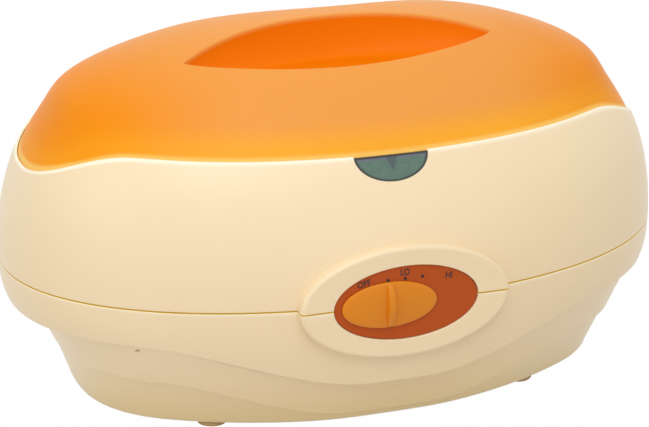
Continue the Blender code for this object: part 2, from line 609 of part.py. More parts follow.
def lower_housing(parts, tools, mat):
    outer = skirt_rings(0.0, 0.0, LOWER_TOP, BASE_CLEARANCE + BASE_ROUND_HEIGHT)
    last = outer[-1]
    for angle in (pi / 4, pi / 2):
        outer.append(shrink_ring(last, BASE_ROUND_RUN * (1 - cos(angle)),
                                 BASE_CLEARANCE + BASE_ROUND_HEIGHT * (1 - sin(angle))))
    lip_out = WALL + FIT_GAP
    lip_in = lip_out + LIP_WIDTH
    lip_top = LOWER_TOP + LIP_HEIGHT
    inner = skirt_rings(WALL, WALL, LOWER_TOP - LIP_HEIGHT, FLOOR_TOP + BASE_ROUND_HEIGHT, (1, 1, 1))
    inner.append(shrink_ring(inner[-1], BASE_ROUND_RUN, FLOOR_TOP))
    rings = list(reversed(outer))
    rings += [dome_ring(level(LOWER_TOP), lip_out), dome_ring(level(lip_top), lip_out),
              dome_ring(level(lip_top), lip_in), dome_ring(level(LOWER_TOP - LIP_HEIGHT / 2), lip_in)]
    rings += inner
    shell = loft("lower_housing", rings, parts, mat)
    solid = loft("skirt_solid", list(reversed(outer)), tools)
    hide_tool(solid)

    above = box("above_parting", (-BOSS_HALF_LENGTH - FIT_GAP, -BOSS_FACE - OVERRUN, LOWER_TOP),
                (BOSS_HALF_LENGTH + FIT_GAP, -BOSS_BACK_FACE + OVERRUN, PARTING_HEIGHT + BOSS_HALF_HEIGHT), tools)
    boss = upright_oval("lower_boss", BOSS_HALF_LENGTH, BOSS_HALF_HEIGHT, BOSS_FACE, BOSS_BACK_FACE,
                        PARTING_HEIGHT, tools, edge=BOSS_ROUND)
    combine(shell, boss, "UNION")
    bm = bmesh.new()
    for sx in (-1, 1):
        add_cylinder(bm, POST_RADIUS, (sx * BRACKET_POST_X, -BOSS_BACK_FACE - FIT_GAP, PARTING_HEIGHT - BRACKET_DROP),
                     BOSS_BACK_FACE - BRACKET_FRONT, "Y", SMALL_FACETS)
    combine(shell, object_from_bmesh("bracket_posts", bm, tools), "UNION")
    combine(shell, above, "DIFFERENCE")
    bm = bmesh.new()
    for sx in (-1, 1):
        add_cylinder(bm, SCREW_RADIUS + FIT_GAP, (sx * BRACKET_POST_X, -BRACKET_FRONT - SMALL_SCREW_LENGTH,
                                                 PARTING_HEIGHT - BRACKET_DROP),
                     SMALL_SCREW_LENGTH + OVERRUN, "Y", SMALL_FACETS)
    combine(shell, object_from_bmesh("bracket_pilots", bm, tools), "DIFFERENCE")

    bm = bmesh.new()
    for sx in (-1, 1):
        for sy in (-1, 1):
            add_cylinder(bm, PILLAR_RADIUS, (sx * PILLAR_X, sy * PILLAR_Y, FLOOR_TOP), LOWER_TOP - FLOOR_TOP,
                         facets=SMALL_FACETS)
    tubes = object_from_bmesh("screw_tubes", bm, tools)
    combine(tubes, solid, "INTERSECT")
    combine(shell, tubes, "UNION")
    bm = bmesh.new()
    for sx in (-1, 1):
        for sy in (-1, 1):
            add_cylinder(bm, SCREW_HEAD_RADIUS + SCREW_HOLE_GAP, (sx * PILLAR_X, sy * PILLAR_Y, 0), SCREW_SEAT_HEIGHT,
                         facets=SMALL_FACETS)
    combine(shell, object_from_bmesh("screw_tunnels", bm, tools), "DIFFERENCE")
    bm = bmesh.new()
    for sx in (-1, 1):
        for sy in (-1, 1):
            add_cylinder(bm, SCREW_RADIUS + SCREW_HOLE_GAP, (sx * PILLAR_X, sy * PILLAR_Y, SCREW_SEAT_HEIGHT - OVERRUN),
                         LOWER_TOP + 2 * OVERRUN - SCREW_SEAT_HEIGHT, facets=SMALL_FACETS)
    combine(shell, object_from_bmesh("screw_holes", bm, tools), "DIFFERENCE")

    bm = bmesh.new()
    for sx in (-1, 1):
        for sy in (-1, 1):
            add_cylinder(bm, POST_RADIUS, (sx * SHIELD_POST_X, sy * SHIELD_POST_Y, FLOOR_TOP - WALL / 2),
                         SHIELD_HEIGHT - FIT_GAP - FLOOR_TOP + WALL / 2, facets=SMALL_FACETS)
    add_cylinder(bm, GLAND_BOSS_RADIUS, (GLAND_X, gland_seat() - GLAND_BOSS_DEPTH, GLAND_HEIGHT),
                 GLAND_BOSS_DEPTH, "Y")
    combine(shell, object_from_bmesh("posts_and_gland_boss", bm, tools), "UNION")
    bm = bmesh.new()
    add_cylinder(bm, GLAND_FLANGE_RADIUS + FIT_GAP, (GLAND_X, gland_seat(), GLAND_HEIGHT), BODY_HALF_DEPTH, "Y")
    combine(shell, object_from_bmesh("gland_pocket", bm, tools), "DIFFERENCE")
    bm = bmesh.new()
    add_cylinder(bm, GLAND_BODY_RADIUS + FIT_GAP, (GLAND_X, 0, GLAND_HEIGHT), BODY_HALF_DEPTH, "Y")
    for sx in (-1, 1):
        for sy in (-1, 1):
            add_cylinder(bm, FOOT_SPIGOT_RADIUS + FIT_GAP, (sx * FOOT_X, sy * FOOT_Y, 0), FLOOR_TOP + OVERRUN,
                         facets=SMALL_FACETS)
    combine(shell, object_from_bmesh("gland_and_foot_holes", bm, tools), "DIFFERENCE")
    cut_plate_seat(shell, "lower", tools)
    return shell


def gland_seat():
    return BODY_HALF_DEPTH - GLAND_SEAT_DEPTH


# Lid

def leaf(half_length, tip_y, near_y, far_y, height, count):
    """Leaf outline: two arcs that meet at the tips."""
    points = []
    for edge_y, sign in ((near_y, 1), (far_y, -1)):
        for k in range(count):
            share = -1 + 2 * k / count
            x = sign * share * half_length
            y = tip_y + (edge_y - tip_y) * (1 - share * share)
            points.append((x, -y, height))
    return points


def scoop_cutter(name, side, swell, tools):
    """Leaf-shaped finger scoop; swell widens it to leave the lid wall around it."""
    count = 12
    floor = TOTAL_HEIGHT - SCOOP_DEPTH - swell
    top = TOTAL_HEIGHT + OVERRUN + swell
    middle_y = (SCOOP_NEAR_Y + SCOOP_FAR_Y) / 2
    rings = []
    for share in (0.0, 0.15, 0.5, 1.0):
        bulge = SCOOP_FLOOR_SHARE + (1 - SCOOP_FLOOR_SHARE) * (1 - (1 - share) ** 2) ** 0.5
        height = floor + (top - floor) * share
        near = middle_y + (SCOOP_NEAR_Y - middle_y) * bulge + swell
        far = middle_y + (SCOOP_FAR_Y - middle_y) * bulge - swell
        tip = middle_y + (SCOOP_TIP_Y - middle_y) * bulge
        ring = leaf(SCOOP_HALF_LENGTH * bulge + 2 * swell, tip, near, far, height, count)
        if side < 0:
            ring = [(-x, -y, z) for x, y, z in ring]
        rings.append(ring)
    return loft(name, rings, tools)


def lid_rings(inset, edge_lift, top_drop, shares):
    """Rings of the lid from its wavy edge up to the crown."""
    def height_at(share):
        def height(angle):
            low = rim_height(angle) - SHOULDER_DEPTH + FIT_GAP + edge_lift
            return low + (TOTAL_HEIGHT - top_drop - low) * share
        return height
    rings = []
    for share in shares:
        at = height_at(share)
        ring = []
        for k in range(AROUND):
            angle = 2 * pi * k / AROUND
            x, y, z = dome_point(angle, at(angle) + top_drop, inset)
            ring.append((x, y, z - top_drop))
        rings.append(ring)
    return rings


LID_SHARES = (0.0, 0.16, 0.34, 0.5, 0.65, 0.78, 0.89, 0.97)
LID_INNER_SHARES = (0.0, 0.25, 0.5, 0.72, 0.89, 0.97)
CROWN_CLOSE_SHARE = 0.35


def close_crown(rings, height):
    """Small last ring that closes the crown to a nearly flat top."""
    top = rings[-1]
    return rings + [[(x * CROWN_CLOSE_SHARE, y * CROWN_CLOSE_SHARE, height) for x, y, _ in top]]


def lid(parts, tools, mat):
    outer = close_crown(lid_rings(LID_INSET, 0.0, 0.0, LID_SHARES), TOTAL_HEIGHT)
    shell = loft("lid", outer, parts, mat)
    for side, name in ((1, "front"), (-1, "back")):
        combine(shell, scoop_cutter(name + "_scoop", side, 0.0, tools), "DIFFERENCE")
    inner_rings = lid_rings(LID_INSET + LID_WALL, 0.0, LID_WALL, LID_INNER_SHARES)
    edge = [(x, y, z - OVERRUN) for x, y, z in inner_rings[0]]
    hollow = loft("lid_hollow", close_crown([edge] + inner_rings, TOTAL_HEIGHT - LID_WALL), tools)
    for side, name in ((1, "front"), (-1, "back")):
        combine(hollow, hide_tool(scoop_cutter(name + "_scoop_wall", side, LID_WALL, tools)), "DIFFERENCE")
    combine(shell, hollow, "DIFFERENCE")
    return shell


# Tank and what seals it

def tank_section(height, grow):
    """Half length and half depth of the tank's outside at a height."""
    low = TANK_FLOOR_HEIGHT
    share = min(max((FLANGE_BOTTOM - height) / (FLANGE_BOTTOM - low), 0.0), 1.0)
    draw = TANK_TAPER * share
    corner = 0.0
    if height < low + TANK_CORNER:
        rise = (low + TANK_CORNER - height) / TANK_CORNER
        corner = TANK_CORNER * (1 - max(1 - rise * rise, 0.0) ** 0.5)
    return TANK_HALF_LENGTH - draw - corner + grow, TANK_HALF_DEPTH - draw - corner + grow


def tank_rings(grow, floor, heights):
    rings = []
    for height in heights:
        half_length, half_depth = tank_section(height, grow)
        rings.append(oval(half_length, half_depth, TANK_POWER, max(height, floor), AROUND_TANK))
    return rings


def tank(parts, mat):
    low = TANK_FLOOR_HEIGHT
    heights = [low, low + TANK_CORNER * 0.13, low + TANK_CORNER * 0.5, low + TANK_CORNER,
               (low + TANK_CORNER + FLANGE_BOTTOM) / 2, FLANGE_BOTTOM]
    outside = tank_rings(0.0, low, heights)
    flange = [oval(FLANGE_HALF_LENGTH, FLANGE_HALF_DEPTH, TANK_POWER, FLANGE_BOTTOM, AROUND_TANK),
              oval(FLANGE_HALF_LENGTH, FLANGE_HALF_DEPTH, TANK_POWER, FLANGE_TOP, AROUND_TANK)]
    inside = []
    for height in reversed(heights):
        half_length, half_depth = tank_section(height, -TANK_WALL)
        z = FLANGE_TOP if height == FLANGE_BOTTOM else height + TANK_WALL
        inside.append(oval(half_length, half_depth, TANK_POWER, z, AROUND_TANK))
    return loft("tank", outside + flange + inside, parts, mat)


def flat_ring(name, outer, inner, low, high, parts, mat, count=AROUND_INNER, power=TANK_POWER):
    rings = [oval(*outer, power, low, count), oval(*outer, power, high, count),
             oval(*inner, power, high, count), oval(*inner, power, low, count)]
    return loft(name, rings, parts, mat, closed=True)


def tank_gasket(parts, mat):
    outer = (FLANGE_HALF_LENGTH - FIT_GAP, FLANGE_HALF_DEPTH - FIT_GAP)
    inner = (outer[0] - GASKET_WIDTH, outer[1] - GASKET_WIDTH)
    low = TANK_SEAT_HEIGHT + FIT_GAP
    return flat_ring("tank_gasket", outer, inner, low, low + GASKET_THICKNESS, parts, mat, AROUND_TANK)


def insulation_blanket(parts, mat):
    rings = []
    for height in (BLANKET_BOTTOM, BLANKET_TOP):
        rings.append(oval(*tank_section(height, FIT_GAP + BLANKET_THICKNESS), TANK_POWER, height, AROUND_TANK))
    for height in (BLANKET_TOP, BLANKET_BOTTOM):
        rings.append(oval(*tank_section(height, FIT_GAP), TANK_POWER, height, AROUND_TANK))
    return loft("insulation_blanket", rings, parts, mat, closed=True)


def bath_grate(parts, tools, mat):
    """Loose guard on short legs at the bottom of the tank, with cross slots for the wax."""
    floor = TANK_FLOOR_HEIGHT + TANK_WALL + FIT_GAP
    half_length, half_depth = tank_section(floor + GRATE_HEIGHT, -TANK_WALL - GRATE_MARGIN)
    low = floor + GRATE_HEIGHT - GRATE_THICKNESS
    rings = [oval(half_length, half_depth, TANK_POWER, z, AROUND_TANK) for z in (low, low + GRATE_THICKNESS)]
    grate = loft("bath_grate", rings, parts, mat)
    bm = bmesh.new()
    leg_x = half_length * GRATE_LEG_SHARES[0]
    leg_y = half_depth * GRATE_LEG_SHARES[1]
    for sx in (-1, 1):
        for sy in (-1, 1):
            add_cylinder(bm, POST_RADIUS, (sx * leg_x, sy * leg_y, floor), low + GRATE_THICKNESS / 2 - floor,
                         facets=SMALL_FACETS)
    combine(grate, object_from_bmesh("grate_legs", bm, tools), "UNION")
    pitch = GRATE_SLOT_WIDTH + GRATE_BAR_WIDTH
    count = int((half_length - GRATE_BORDER) / pitch)
    bm = bmesh.new()
    for k in range(-count, count):
        x = (k + 0.5) * pitch
        reach = half_depth * (1 - abs(x / half_length) ** TANK_POWER) ** (1 / TANK_POWER) - GRATE_BORDER
        if reach < GRATE_BORDER or abs(abs(x) - leg_x) < POST_RADIUS + GRATE_SLOT_WIDTH / 2 + GRATE_THICKNESS:
            continue
        for side in (-1, 1):
            middle = Vector((x, side * (reach + GRATE_BAR_WIDTH / 2) / 2, low + GRATE_THICKNESS / 2))
            size = (GRATE_SLOT_WIDTH, reach - GRATE_BAR_WIDTH / 2, GRATE_THICKNESS + 2 * OVERRUN)
            bmesh.ops.create_cube(bm, size=1.0, matrix=Matrix.Translation(middle) @ Matrix.Diagonal((*size, 1)))
    combine(grate, object_from_bmesh("grate_slots", bm, tools), "DIFFERENCE")
    return grate


# Heater stack

def stud_places():
    return [(sx * STUD_X, sy * STUD_Y) for sx in (-1, 1) for sy in (-1, 1)]


def heater_plate(parts, tools, mat):
    plate = flat_ring("heater_plate", (HEATER_HALF_LENGTH, HEATER_HALF_DEPTH),
                      (HEATER_HOLE_HALF_LENGTH, HEATER_HOLE_HALF_DEPTH), HEATER_BOTTOM, HEATER_TOP, parts, mat)
    combine(plate, stud_holes("heater_stud_holes", tools), "DIFFERENCE")
    return plate


def stud_holes(name, tools):
    bm = bmesh.new()
    for x, y in stud_places():
        add_cylinder(bm, STUD_RADIUS + FIT_GAP, (x, y, STUD_BOTTOM), TANK_FLOOR_HEIGHT - STUD_BOTTOM + OVERRUN,
                     facets=SMALL_FACETS)
    return object_from_bmesh(name, bm, tools)


def heater_clamp(parts, tools, mat):
    half_length = HEATER_HALF_LENGTH - CLAMP_MARGIN
    half_depth = HEATER_HALF_DEPTH - CLAMP_MARGIN
    rings = [oval(half_length, half_depth, TANK_POWER, z, AROUND_INNER) for z in (CLAMP_BOTTOM, CLAMP_TOP)]
    plate = loft("heater_clamp", rings, parts, mat)
    combine(plate, stud_holes("clamp_stud_holes", tools), "DIFFERENCE")
    bm = bmesh.new()
    for side in (-1, 1):
        add_cylinder(bm, THERMOSTAT_BODY_RADIUS + FIT_GAP, (side * THERMOSTAT_SPACING / 2, 0, CLAMP_BOTTOM - OVERRUN),
                     CLAMP_THICKNESS + 2 * OVERRUN)
    combine(plate, object_from_bmesh("thermostat_holes", bm, tools), "DIFFERENCE")
    return plate


def heater_stud(name, place, parts, mat):
    """Stud that stands on the tank floor and carries the clamp plate."""
    return cylinder(name, STUD_RADIUS, (*place, STUD_BOTTOM), TANK_FLOOR_HEIGHT - FIT_GAP - STUD_BOTTOM,
                    parts, mat, facets=SMALL_FACETS)


def heater_nut(name, place, parts, tools, mat):
    nut = cylinder(name, NUT_RADIUS, (*place, CLAMP_BOTTOM - FIT_GAP - NUT_HEIGHT), NUT_HEIGHT, parts, mat, facets=6)
    combine(nut, stud_holes(name + "_bore", tools), "DIFFERENCE")
    return nut


def thermostat(name, x, parts, tools, mat):
    """Snap-disc thermostat: cap against the tank floor, body down through the clamp, two tabs."""
    cap_bottom = CLAMP_TOP + FIT_GAP
    body = cylinder(name, THERMOSTAT_CAP_RADIUS, (x, 0, cap_bottom), HEATER_TOP - cap_bottom, parts, mat)
    bm = bmesh.new()
    body_bottom = CLAMP_BOTTOM - THERMOSTAT_BODY_HEIGHT
    add_cylinder(bm, THERMOSTAT_BODY_RADIUS, (x, 0, body_bottom), cap_bottom + FIT_GAP - body_bottom)
    combine(body, object_from_bmesh(name + "_base", bm, tools), "UNION")
    bm = bmesh.new()
    for side in (-1, 1):
        place = Vector((x, side * THERMOSTAT_TAB_LENGTH / 2, body_bottom - THERMOSTAT_TAB_LENGTH / 2 + FIT_GAP))
        size = (THERMOSTAT_TAB_WIDTH, THERMOSTAT_TAB_THICKNESS, THERMOSTAT_TAB_LENGTH)
        bmesh.ops.create_cube(bm, size=1.0, matrix=Matrix.Translation(place) @ Matrix.Diagonal((*size, 1)))
    combine(body, object_from_bmesh(name + "_tabs", bm, tools), "UNION")
    return body


def thermal_fuse(parts, mat):
    z = CLAMP_BOTTOM - FIT_GAP - FUSE_RADIUS
    return cylinder("thermal_fuse", FUSE_RADIUS, (FUSE_X - FUSE_LENGTH / 2, 0, z), FUSE_LENGTH, parts, mat,
                    "X", SMALL_FACETS)


def fuse_clip(parts, mat):
    """Bent strap that holds the fuse up against the clamp plate."""
    top = CLAMP_BOTTOM - FIT_GAP
    inner = FUSE_RADIUS + FIT_GAP
    outer = inner + FUSE_CLIP_WALL
    low = top - 2 * inner
    end = outer + FUSE_CLIP_FOOT
    bends = [((-end, top), (-end, top - FUSE_CLIP_WALL)), ((-inner, top), (-outer, top - FUSE_CLIP_WALL)),
             ((-inner, low), (-outer, low - FUSE_CLIP_WALL)), ((inner, low), (outer, low - FUSE_CLIP_WALL)),
             ((inner, top), (outer, top - FUSE_CLIP_WALL)), ((end, top), (end, top - FUSE_CLIP_WALL))]
    sides = (FUSE_X - FUSE_CLIP_WIDTH / 2, FUSE_X + FUSE_CLIP_WIDTH / 2)
    rings = [[(sides[0], *above), (sides[1], *above), (sides[1], *below), (sides[0], *below)]
             for above, below in bends]
    return loft("fuse_clip", rings, parts, mat)


def heat_shield(parts, mat):
    rings = [oval(SHIELD_HALF_LENGTH, SHIELD_HALF_DEPTH, TANK_POWER, z, AROUND_INNER)
             for z in (SHIELD_HEIGHT, SHIELD_HEIGHT + SHIELD_THICKNESS)]
    return loft("heat_shield", rings, parts, mat)


# Control: plate, knob, carriage and switch

def control_plate(parts, tools, mat):
    plate = upright_oval("control_plate", PLATE_HALF_LENGTH, PLATE_HALF_HEIGHT, PLATE_FACE, PLATE_BACK,
                         PARTING_HEIGHT, parts, mat)
    half_slot = (KNOB_TRAVEL + STEM_LENGTH) / 2 + 2 * FIT_GAP
    slot = box("stem_slot", (-half_slot, -PLATE_FACE - OVERRUN, PARTING_HEIGHT - STEM_HEIGHT / 2 - FIT_GAP),
               (half_slot, -PLATE_BACK + OVERRUN, PARTING_HEIGHT + STEM_HEIGHT / 2 + FIT_GAP), tools)
    combine(plate, slot, "DIFFERENCE")
    return plate


KNOB_STATION_SHARES = (0.995, 0.95, 0.85, 0.7, 0.5, 0.32, 0.2)
KNOB_SCOOP_SHARE = 0.42


def knob_height(x):
    """Thickness of the knob along its middle: thick at the crest, scooped beside it, thin at the ends."""
    if abs(x) <= KNOB_CREST_HALF_WIDTH:
        return KNOB_CREST_HEIGHT
    share = (abs(x) - KNOB_CREST_HALF_WIDTH) / (KNOB_HALF_LENGTH - KNOB_CREST_HALF_WIDTH)
    rise = (KNOB_CREST_HEIGHT - KNOB_EDGE_THICKNESS) * (1 - KNOB_SCOOP_SHARE)
    return KNOB_EDGE_THICKNESS + rise * (1 - share * share)


def slide_knob(parts, tools, mat):
    """Oval thumb knob, lofted from end to end over upright sections, with its stem behind."""
    stations = [-s * KNOB_HALF_LENGTH for s in KNOB_STATION_SHARES]
    stations += [-KNOB_CREST_HALF_WIDTH * 1.25, -KNOB_CREST_HALF_WIDTH * 0.75, 0.0]
    stations += [-x for x in reversed(stations[:-1])]
    count = 8
    rings = []
    for x in stations:
        half = KNOB_HALF_HEIGHT * (1 - (x / KNOB_HALF_LENGTH) ** 2) ** 0.5
        ring = [(KNOB_REST_X + x, -KNOB_BACK, PARTING_HEIGHT - half)]
        for k in range(count + 1):
            across = -1 + 2 * k / count
            arch = (1 - across * across) ** 0.5
            depth = KNOB_EDGE_THICKNESS / 2 + (knob_height(x) - KNOB_EDGE_THICKNESS / 2) * arch
            ring.append((KNOB_REST_X + x, -KNOB_BACK - depth, PARTING_HEIGHT + across * half))
        ring.append((KNOB_REST_X + x, -KNOB_BACK, PARTING_HEIGHT + half))
        rings.append(ring)
    knob = loft("slide_knob", rings, parts, mat)
    stem = box("knob_stem", (KNOB_REST_X - STEM_LENGTH / 2, -KNOB_BACK - FIT_GAP, PARTING_HEIGHT - STEM_HEIGHT / 2),
               (KNOB_REST_X + STEM_LENGTH / 2, -CARRIAGE_BACK, PARTING_HEIGHT + STEM_HEIGHT / 2), tools)
    combine(knob, stem, "UNION")
    return knob


def slider_carriage(parts, tools, mat):
    """Plate behind the control plate that the stem snaps into; its two fingers hold the switch lever."""
    carriage = box("slider_carriage",
                   (KNOB_REST_X - CARRIAGE_HALF_LENGTH, -CARRIAGE_FRONT, PARTING_HEIGHT - CARRIAGE_HALF_HEIGHT),
                   (KNOB_REST_X + CARRIAGE_HALF_LENGTH, -CARRIAGE_BACK, PARTING_HEIGHT + CARRIAGE_HALF_HEIGHT),
                   parts, mat)
    socket = box("stem_socket",
                 (KNOB_REST_X - STEM_LENGTH / 2 - FIT_GAP, -CARRIAGE_FRONT - OVERRUN,
                  PARTING_HEIGHT - STEM_HEIGHT / 2 - FIT_GAP),
                 (KNOB_REST_X + STEM_LENGTH / 2 + FIT_GAP, -CARRIAGE_BACK + OVERRUN,
                  PARTING_HEIGHT + STEM_HEIGHT / 2 + FIT_GAP), tools)
    combine(carriage, socket, "DIFFERENCE")
    bm = bmesh.new()
    finger = LEVER_REACH - 2 * FIT_GAP
    for side in (-1, 1):
        x = KNOB_REST_X + side * (STEM_LENGTH / 2 + LEVER_SIZE / 2)
        place = Vector((x, -CARRIAGE_BACK + finger / 2 - FIT_GAP, PARTING_HEIGHT))
        size = (LEVER_SIZE / 2, finger + 2 * FIT_GAP, STEM_HEIGHT)
        bmesh.ops.create_cube(bm, size=1.0, matrix=Matrix.Translation(place) @ Matrix.Diagonal((*size, 1)))
    combine(carriage, object_from_bmesh("carriage_fingers", bm, tools), "UNION")
    return carriage


def switch_lever(parts, mat):
    reach = CARRIAGE_BACK - FIT_GAP
    half_width = STEM_LENGTH / 2 + LEVER_SIZE / 4 - FIT_GAP
    return box("switch_lever",
               (KNOB_REST_X - half_width, -reach, PARTING_HEIGHT - LEVER_SIZE / 2),
               (KNOB_REST_X + half_width, -SWITCH_FRONT + SWITCH_DEPTH / 3, PARTING_HEIGHT + LEVER_SIZE / 2),
               parts, mat)


def slide_switch(parts, tools, mat):
    body = box("slide_switch",
               (-SWITCH_HALF_LENGTH, -SWITCH_FRONT, PARTING_HEIGHT - SWITCH_HALF_HEIGHT),
               (SWITCH_HALF_LENGTH, -SWITCH_BACK, PARTING_HEIGHT + SWITCH_HALF_HEIGHT), parts, mat)
    half_slot = KNOB_TRAVEL / 2 + STEM_LENGTH / 2 + LEVER_SIZE / 4 + FIT_GAP
    slot = box("lever_slot",
               (-half_slot, -SWITCH_FRONT - OVERRUN, PARTING_HEIGHT - LEVER_SIZE / 2 - FIT_GAP),
               (half_slot, -SWITCH_FRONT + SWITCH_DEPTH / 3 + FIT_GAP, PARTING_HEIGHT + LEVER_SIZE / 2 + FIT_GAP),
               tools)
    combine(body, slot, "DIFFERENCE")
    return body


def switch_bracket(parts, tools, mat):
    """Flat bracket across the back of the boss that carries the switch."""
    centre = PARTING_HEIGHT - BRACKET_DROP / 2
    plate = box("switch_bracket",
                (-BRACKET_HALF_LENGTH, -BRACKET_FRONT, centre - BRACKET_HALF_HEIGHT),
                (BRACKET_HALF_LENGTH, -BRACKET_FRONT + BRACKET_THICKNESS, centre + BRACKET_HALF_HEIGHT), parts, mat)
    bm = bmesh.new()
    for side in (-1, 1):
        add_cylinder(bm, SCREW_RADIUS + FIT_GAP, (side * BRACKET_POST_X, -BRACKET_FRONT - OVERRUN,
                                                 PARTING_HEIGHT - BRACKET_DROP),
                     BRACKET_THICKNESS + 2 * OVERRUN, "Y", SMALL_FACETS)
    combine(plate, object_from_bmesh("bracket_holes", bm, tools), "DIFFERENCE")
    return plate


def bracket_screw(name, side, parts, tools, mat):
    """Pan-head screw through the bracket into its post."""
    z = PARTING_HEIGHT - BRACKET_DROP
    head_start = -BRACKET_FRONT + BRACKET_THICKNESS + FIT_GAP
    screw = cylinder(name, SCREW_HEAD_RADIUS, (side * BRACKET_POST_X, head_start, z), SCREW_HEAD_HEIGHT,
                     parts, mat, "Y", SMALL_FACETS)
    shank = cylinder(name + "_shank", SCREW_RADIUS,
                     (side * BRACKET_POST_X, head_start + SCREW_HEAD_HEIGHT / 2 - SMALL_SCREW_LENGTH, z),
                     SMALL_SCREW_LENGTH, tools, direction="Y", facets=SMALL_FACETS)
    combine(screw, shank, "UNION")
    return screw


# Lens and lamps

def indicator_lens(parts, tools, mat):
    top = lens_top()
    lens = half_moon("indicator_lens", LENS_HALF_WIDTH, LENS_DROP, top - FIT_GAP,
                     BODY_HALF_DEPTH, TANK_HALF_DEPTH, parts, mat)
    band = skin_band("lens_band", top - LENS_DROP - OVERRUN, top + OVERRUN / 2, FIT_GAP, LENS_THICKNESS, tools)
    combine(lens, band, "INTERSECT")
    return lens


def lamp_board_height():
    return RIM_HEIGHT - SHOULDER_DEPTH - 2 * WALL - LAMP_LENGTH - LAMP_BOARD_THICKNESS - 2 * FIT_GAP


def lamp_board_y():
    """Middle of the board, just behind the front wall."""
    low = lamp_board_height()
    return -dome_axes(low + LAMP_LENGTH)[1] + WALL + LAMP_RADIUS + 2 * FIT_GAP


def lamp_board(parts, mat):
    low = lamp_board_height()
    y = lamp_board_y()
    return box("lamp_board", (-LAMP_BOARD_LENGTH / 2, y - LAMP_BOARD_DEPTH / 2, low),
               (LAMP_BOARD_LENGTH / 2, y + LAMP_BOARD_DEPTH / 2, low + LAMP_BOARD_THICKNESS), parts, mat)


def indicator_lamp(name, side, parts, mat):
    base = lamp_board_height() + LAMP_BOARD_THICKNESS + FIT_GAP
    return cylinder(name, LAMP_RADIUS, (side * LAMP_SPACING / 2, lamp_board_y(), base),
                    LAMP_LENGTH - LAMP_RADIUS, parts, mat, facets=SMALL_FACETS)


# Screws, feet, gland and wiring

def housing_screw(name, sx, sy, parts, tools, mat):
    """Long screw up through the lower housing into the pillar of the upper one."""
    x, y = sx * PILLAR_X, sy * PILLAR_Y
    head = SCREW_SEAT_HEIGHT - FIT_GAP - SCREW_HEAD_HEIGHT
    screw = cylinder(name, SCREW_HEAD_RADIUS, (x, y, head), SCREW_HEAD_HEIGHT, parts, mat, facets=SMALL_FACETS)
    shank = cylinder(name + "_shank", SCREW_RADIUS, (x, y, head + SCREW_HEAD_HEIGHT / 2), SCREW_LENGTH, tools,
                     facets=SMALL_FACETS)
    combine(screw, shank, "UNION")
    return screw


def foot(name, sx, sy, parts, tools, mat):
    """Rubber foot with a spigot pushed into the floor."""
    pad = cylinder(name, FOOT_RADIUS, (sx * FOOT_X, sy * FOOT_Y, 0), BASE_CLEARANCE - FIT_GAP, parts, mat)
    bm = bmesh.new()
    add_cylinder(bm, FOOT_SPIGOT_RADIUS, (sx * FOOT_X, sy * FOOT_Y, BASE_CLEARANCE / 2), FOOT_SPIGOT_HEIGHT,
                 facets=SMALL_FACETS)
    combine(pad, object_from_bmesh(name + "_spigot", bm, tools), "UNION")
    return pad


def cord_gland(parts, tools, mat):
    """Bushing in the rear wall that the mains cord would pass through."""
    seat = gland_seat() + FIT_GAP
    flange = cylinder("cord_gland", GLAND_FLANGE_RADIUS, (GLAND_X, seat, GLAND_HEIGHT), GLAND_FLANGE_THICKNESS,
                      parts, mat, "Y")
    bm = bmesh.new()
    reach = GLAND_BOSS_DEPTH + GLAND_NUT_HEIGHT + 3 * FIT_GAP
    add_cylinder(bm, GLAND_BODY_RADIUS, (GLAND_X, seat - reach, GLAND_HEIGHT), reach + GLAND_FLANGE_THICKNESS / 2, "Y")
    combine(flange, object_from_bmesh("gland_body", bm, tools), "UNION")
    bm = bmesh.new()
    add_cylinder(bm, GLAND_BORE_RADIUS, (GLAND_X, seat - reach - OVERRUN, GLAND_HEIGHT),
                 reach + GLAND_FLANGE_THICKNESS + 2 * OVERRUN, "Y", SMALL_FACETS)
    combine(flange, object_from_bmesh("gland_bore", bm, tools), "DIFFERENCE")
    return flange


def gland_nut(parts, tools, mat):
    start = gland_seat() - GLAND_BOSS_DEPTH - FIT_GAP - GLAND_NUT_HEIGHT
    nut = cylinder("gland_nut", GLAND_NUT_RADIUS, (GLAND_X, start, GLAND_HEIGHT), GLAND_NUT_HEIGHT, parts, mat,
                   "Y", 6)
    bm = bmesh.new()
    add_cylinder(bm, GLAND_BODY_RADIUS + FIT_GAP, (GLAND_X, start - OVERRUN, GLAND_HEIGHT),
                 GLAND_NUT_HEIGHT + 2 * OVERRUN, "Y")
    combine(nut, object_from_bmesh("nut_thread", bm, tools), "DIFFERENCE")
    return nut


def terminal_block(parts, tools, mat):
    low = FLOOR_TOP + FIT_GAP
    block = box("terminal_block", (BLOCK_X - BLOCK_LENGTH / 2, BLOCK_Y - BLOCK_DEPTH / 2, low),
                (BLOCK_X + BLOCK_LENGTH / 2, BLOCK_Y + BLOCK_DEPTH / 2, low + BLOCK_HEIGHT), parts, mat)
    bm = bmesh.new()
    for k in (-1, 0, 1):
        add_cylinder(bm, SCREW_RADIUS + FIT_GAP, (BLOCK_X + k * BLOCK_SCREW_PITCH, BLOCK_Y, low + BLOCK_HEIGHT / 2),
                     BLOCK_HEIGHT, facets=SMALL_FACETS)
    combine(block, object_from_bmesh("block_wells", bm, tools), "DIFFERENCE")
    return block


def smooth_route(points, spacing):
    """Points a few diameters apart on a smooth curve through the route's own points."""
    pts = [Vector(p) for p in points]
    pts = [2 * pts[0] - pts[1]] + pts + [2 * pts[-1] - pts[-2]]
    route = []
    for a, b, c, d in zip(pts, pts[1:], pts[2:], pts[3:]):
        count = max(2, round((c - b).length / spacing))
        for k in range(count):
            t = k / count
            route.append(0.5 * (2 * b + (c - a) * t + (2 * a - 5 * b + 4 * c - d) * t ** 2
                                + (3 * b - a - 3 * c + d) * t ** 3))
    route.append(pts[-2])
    return route


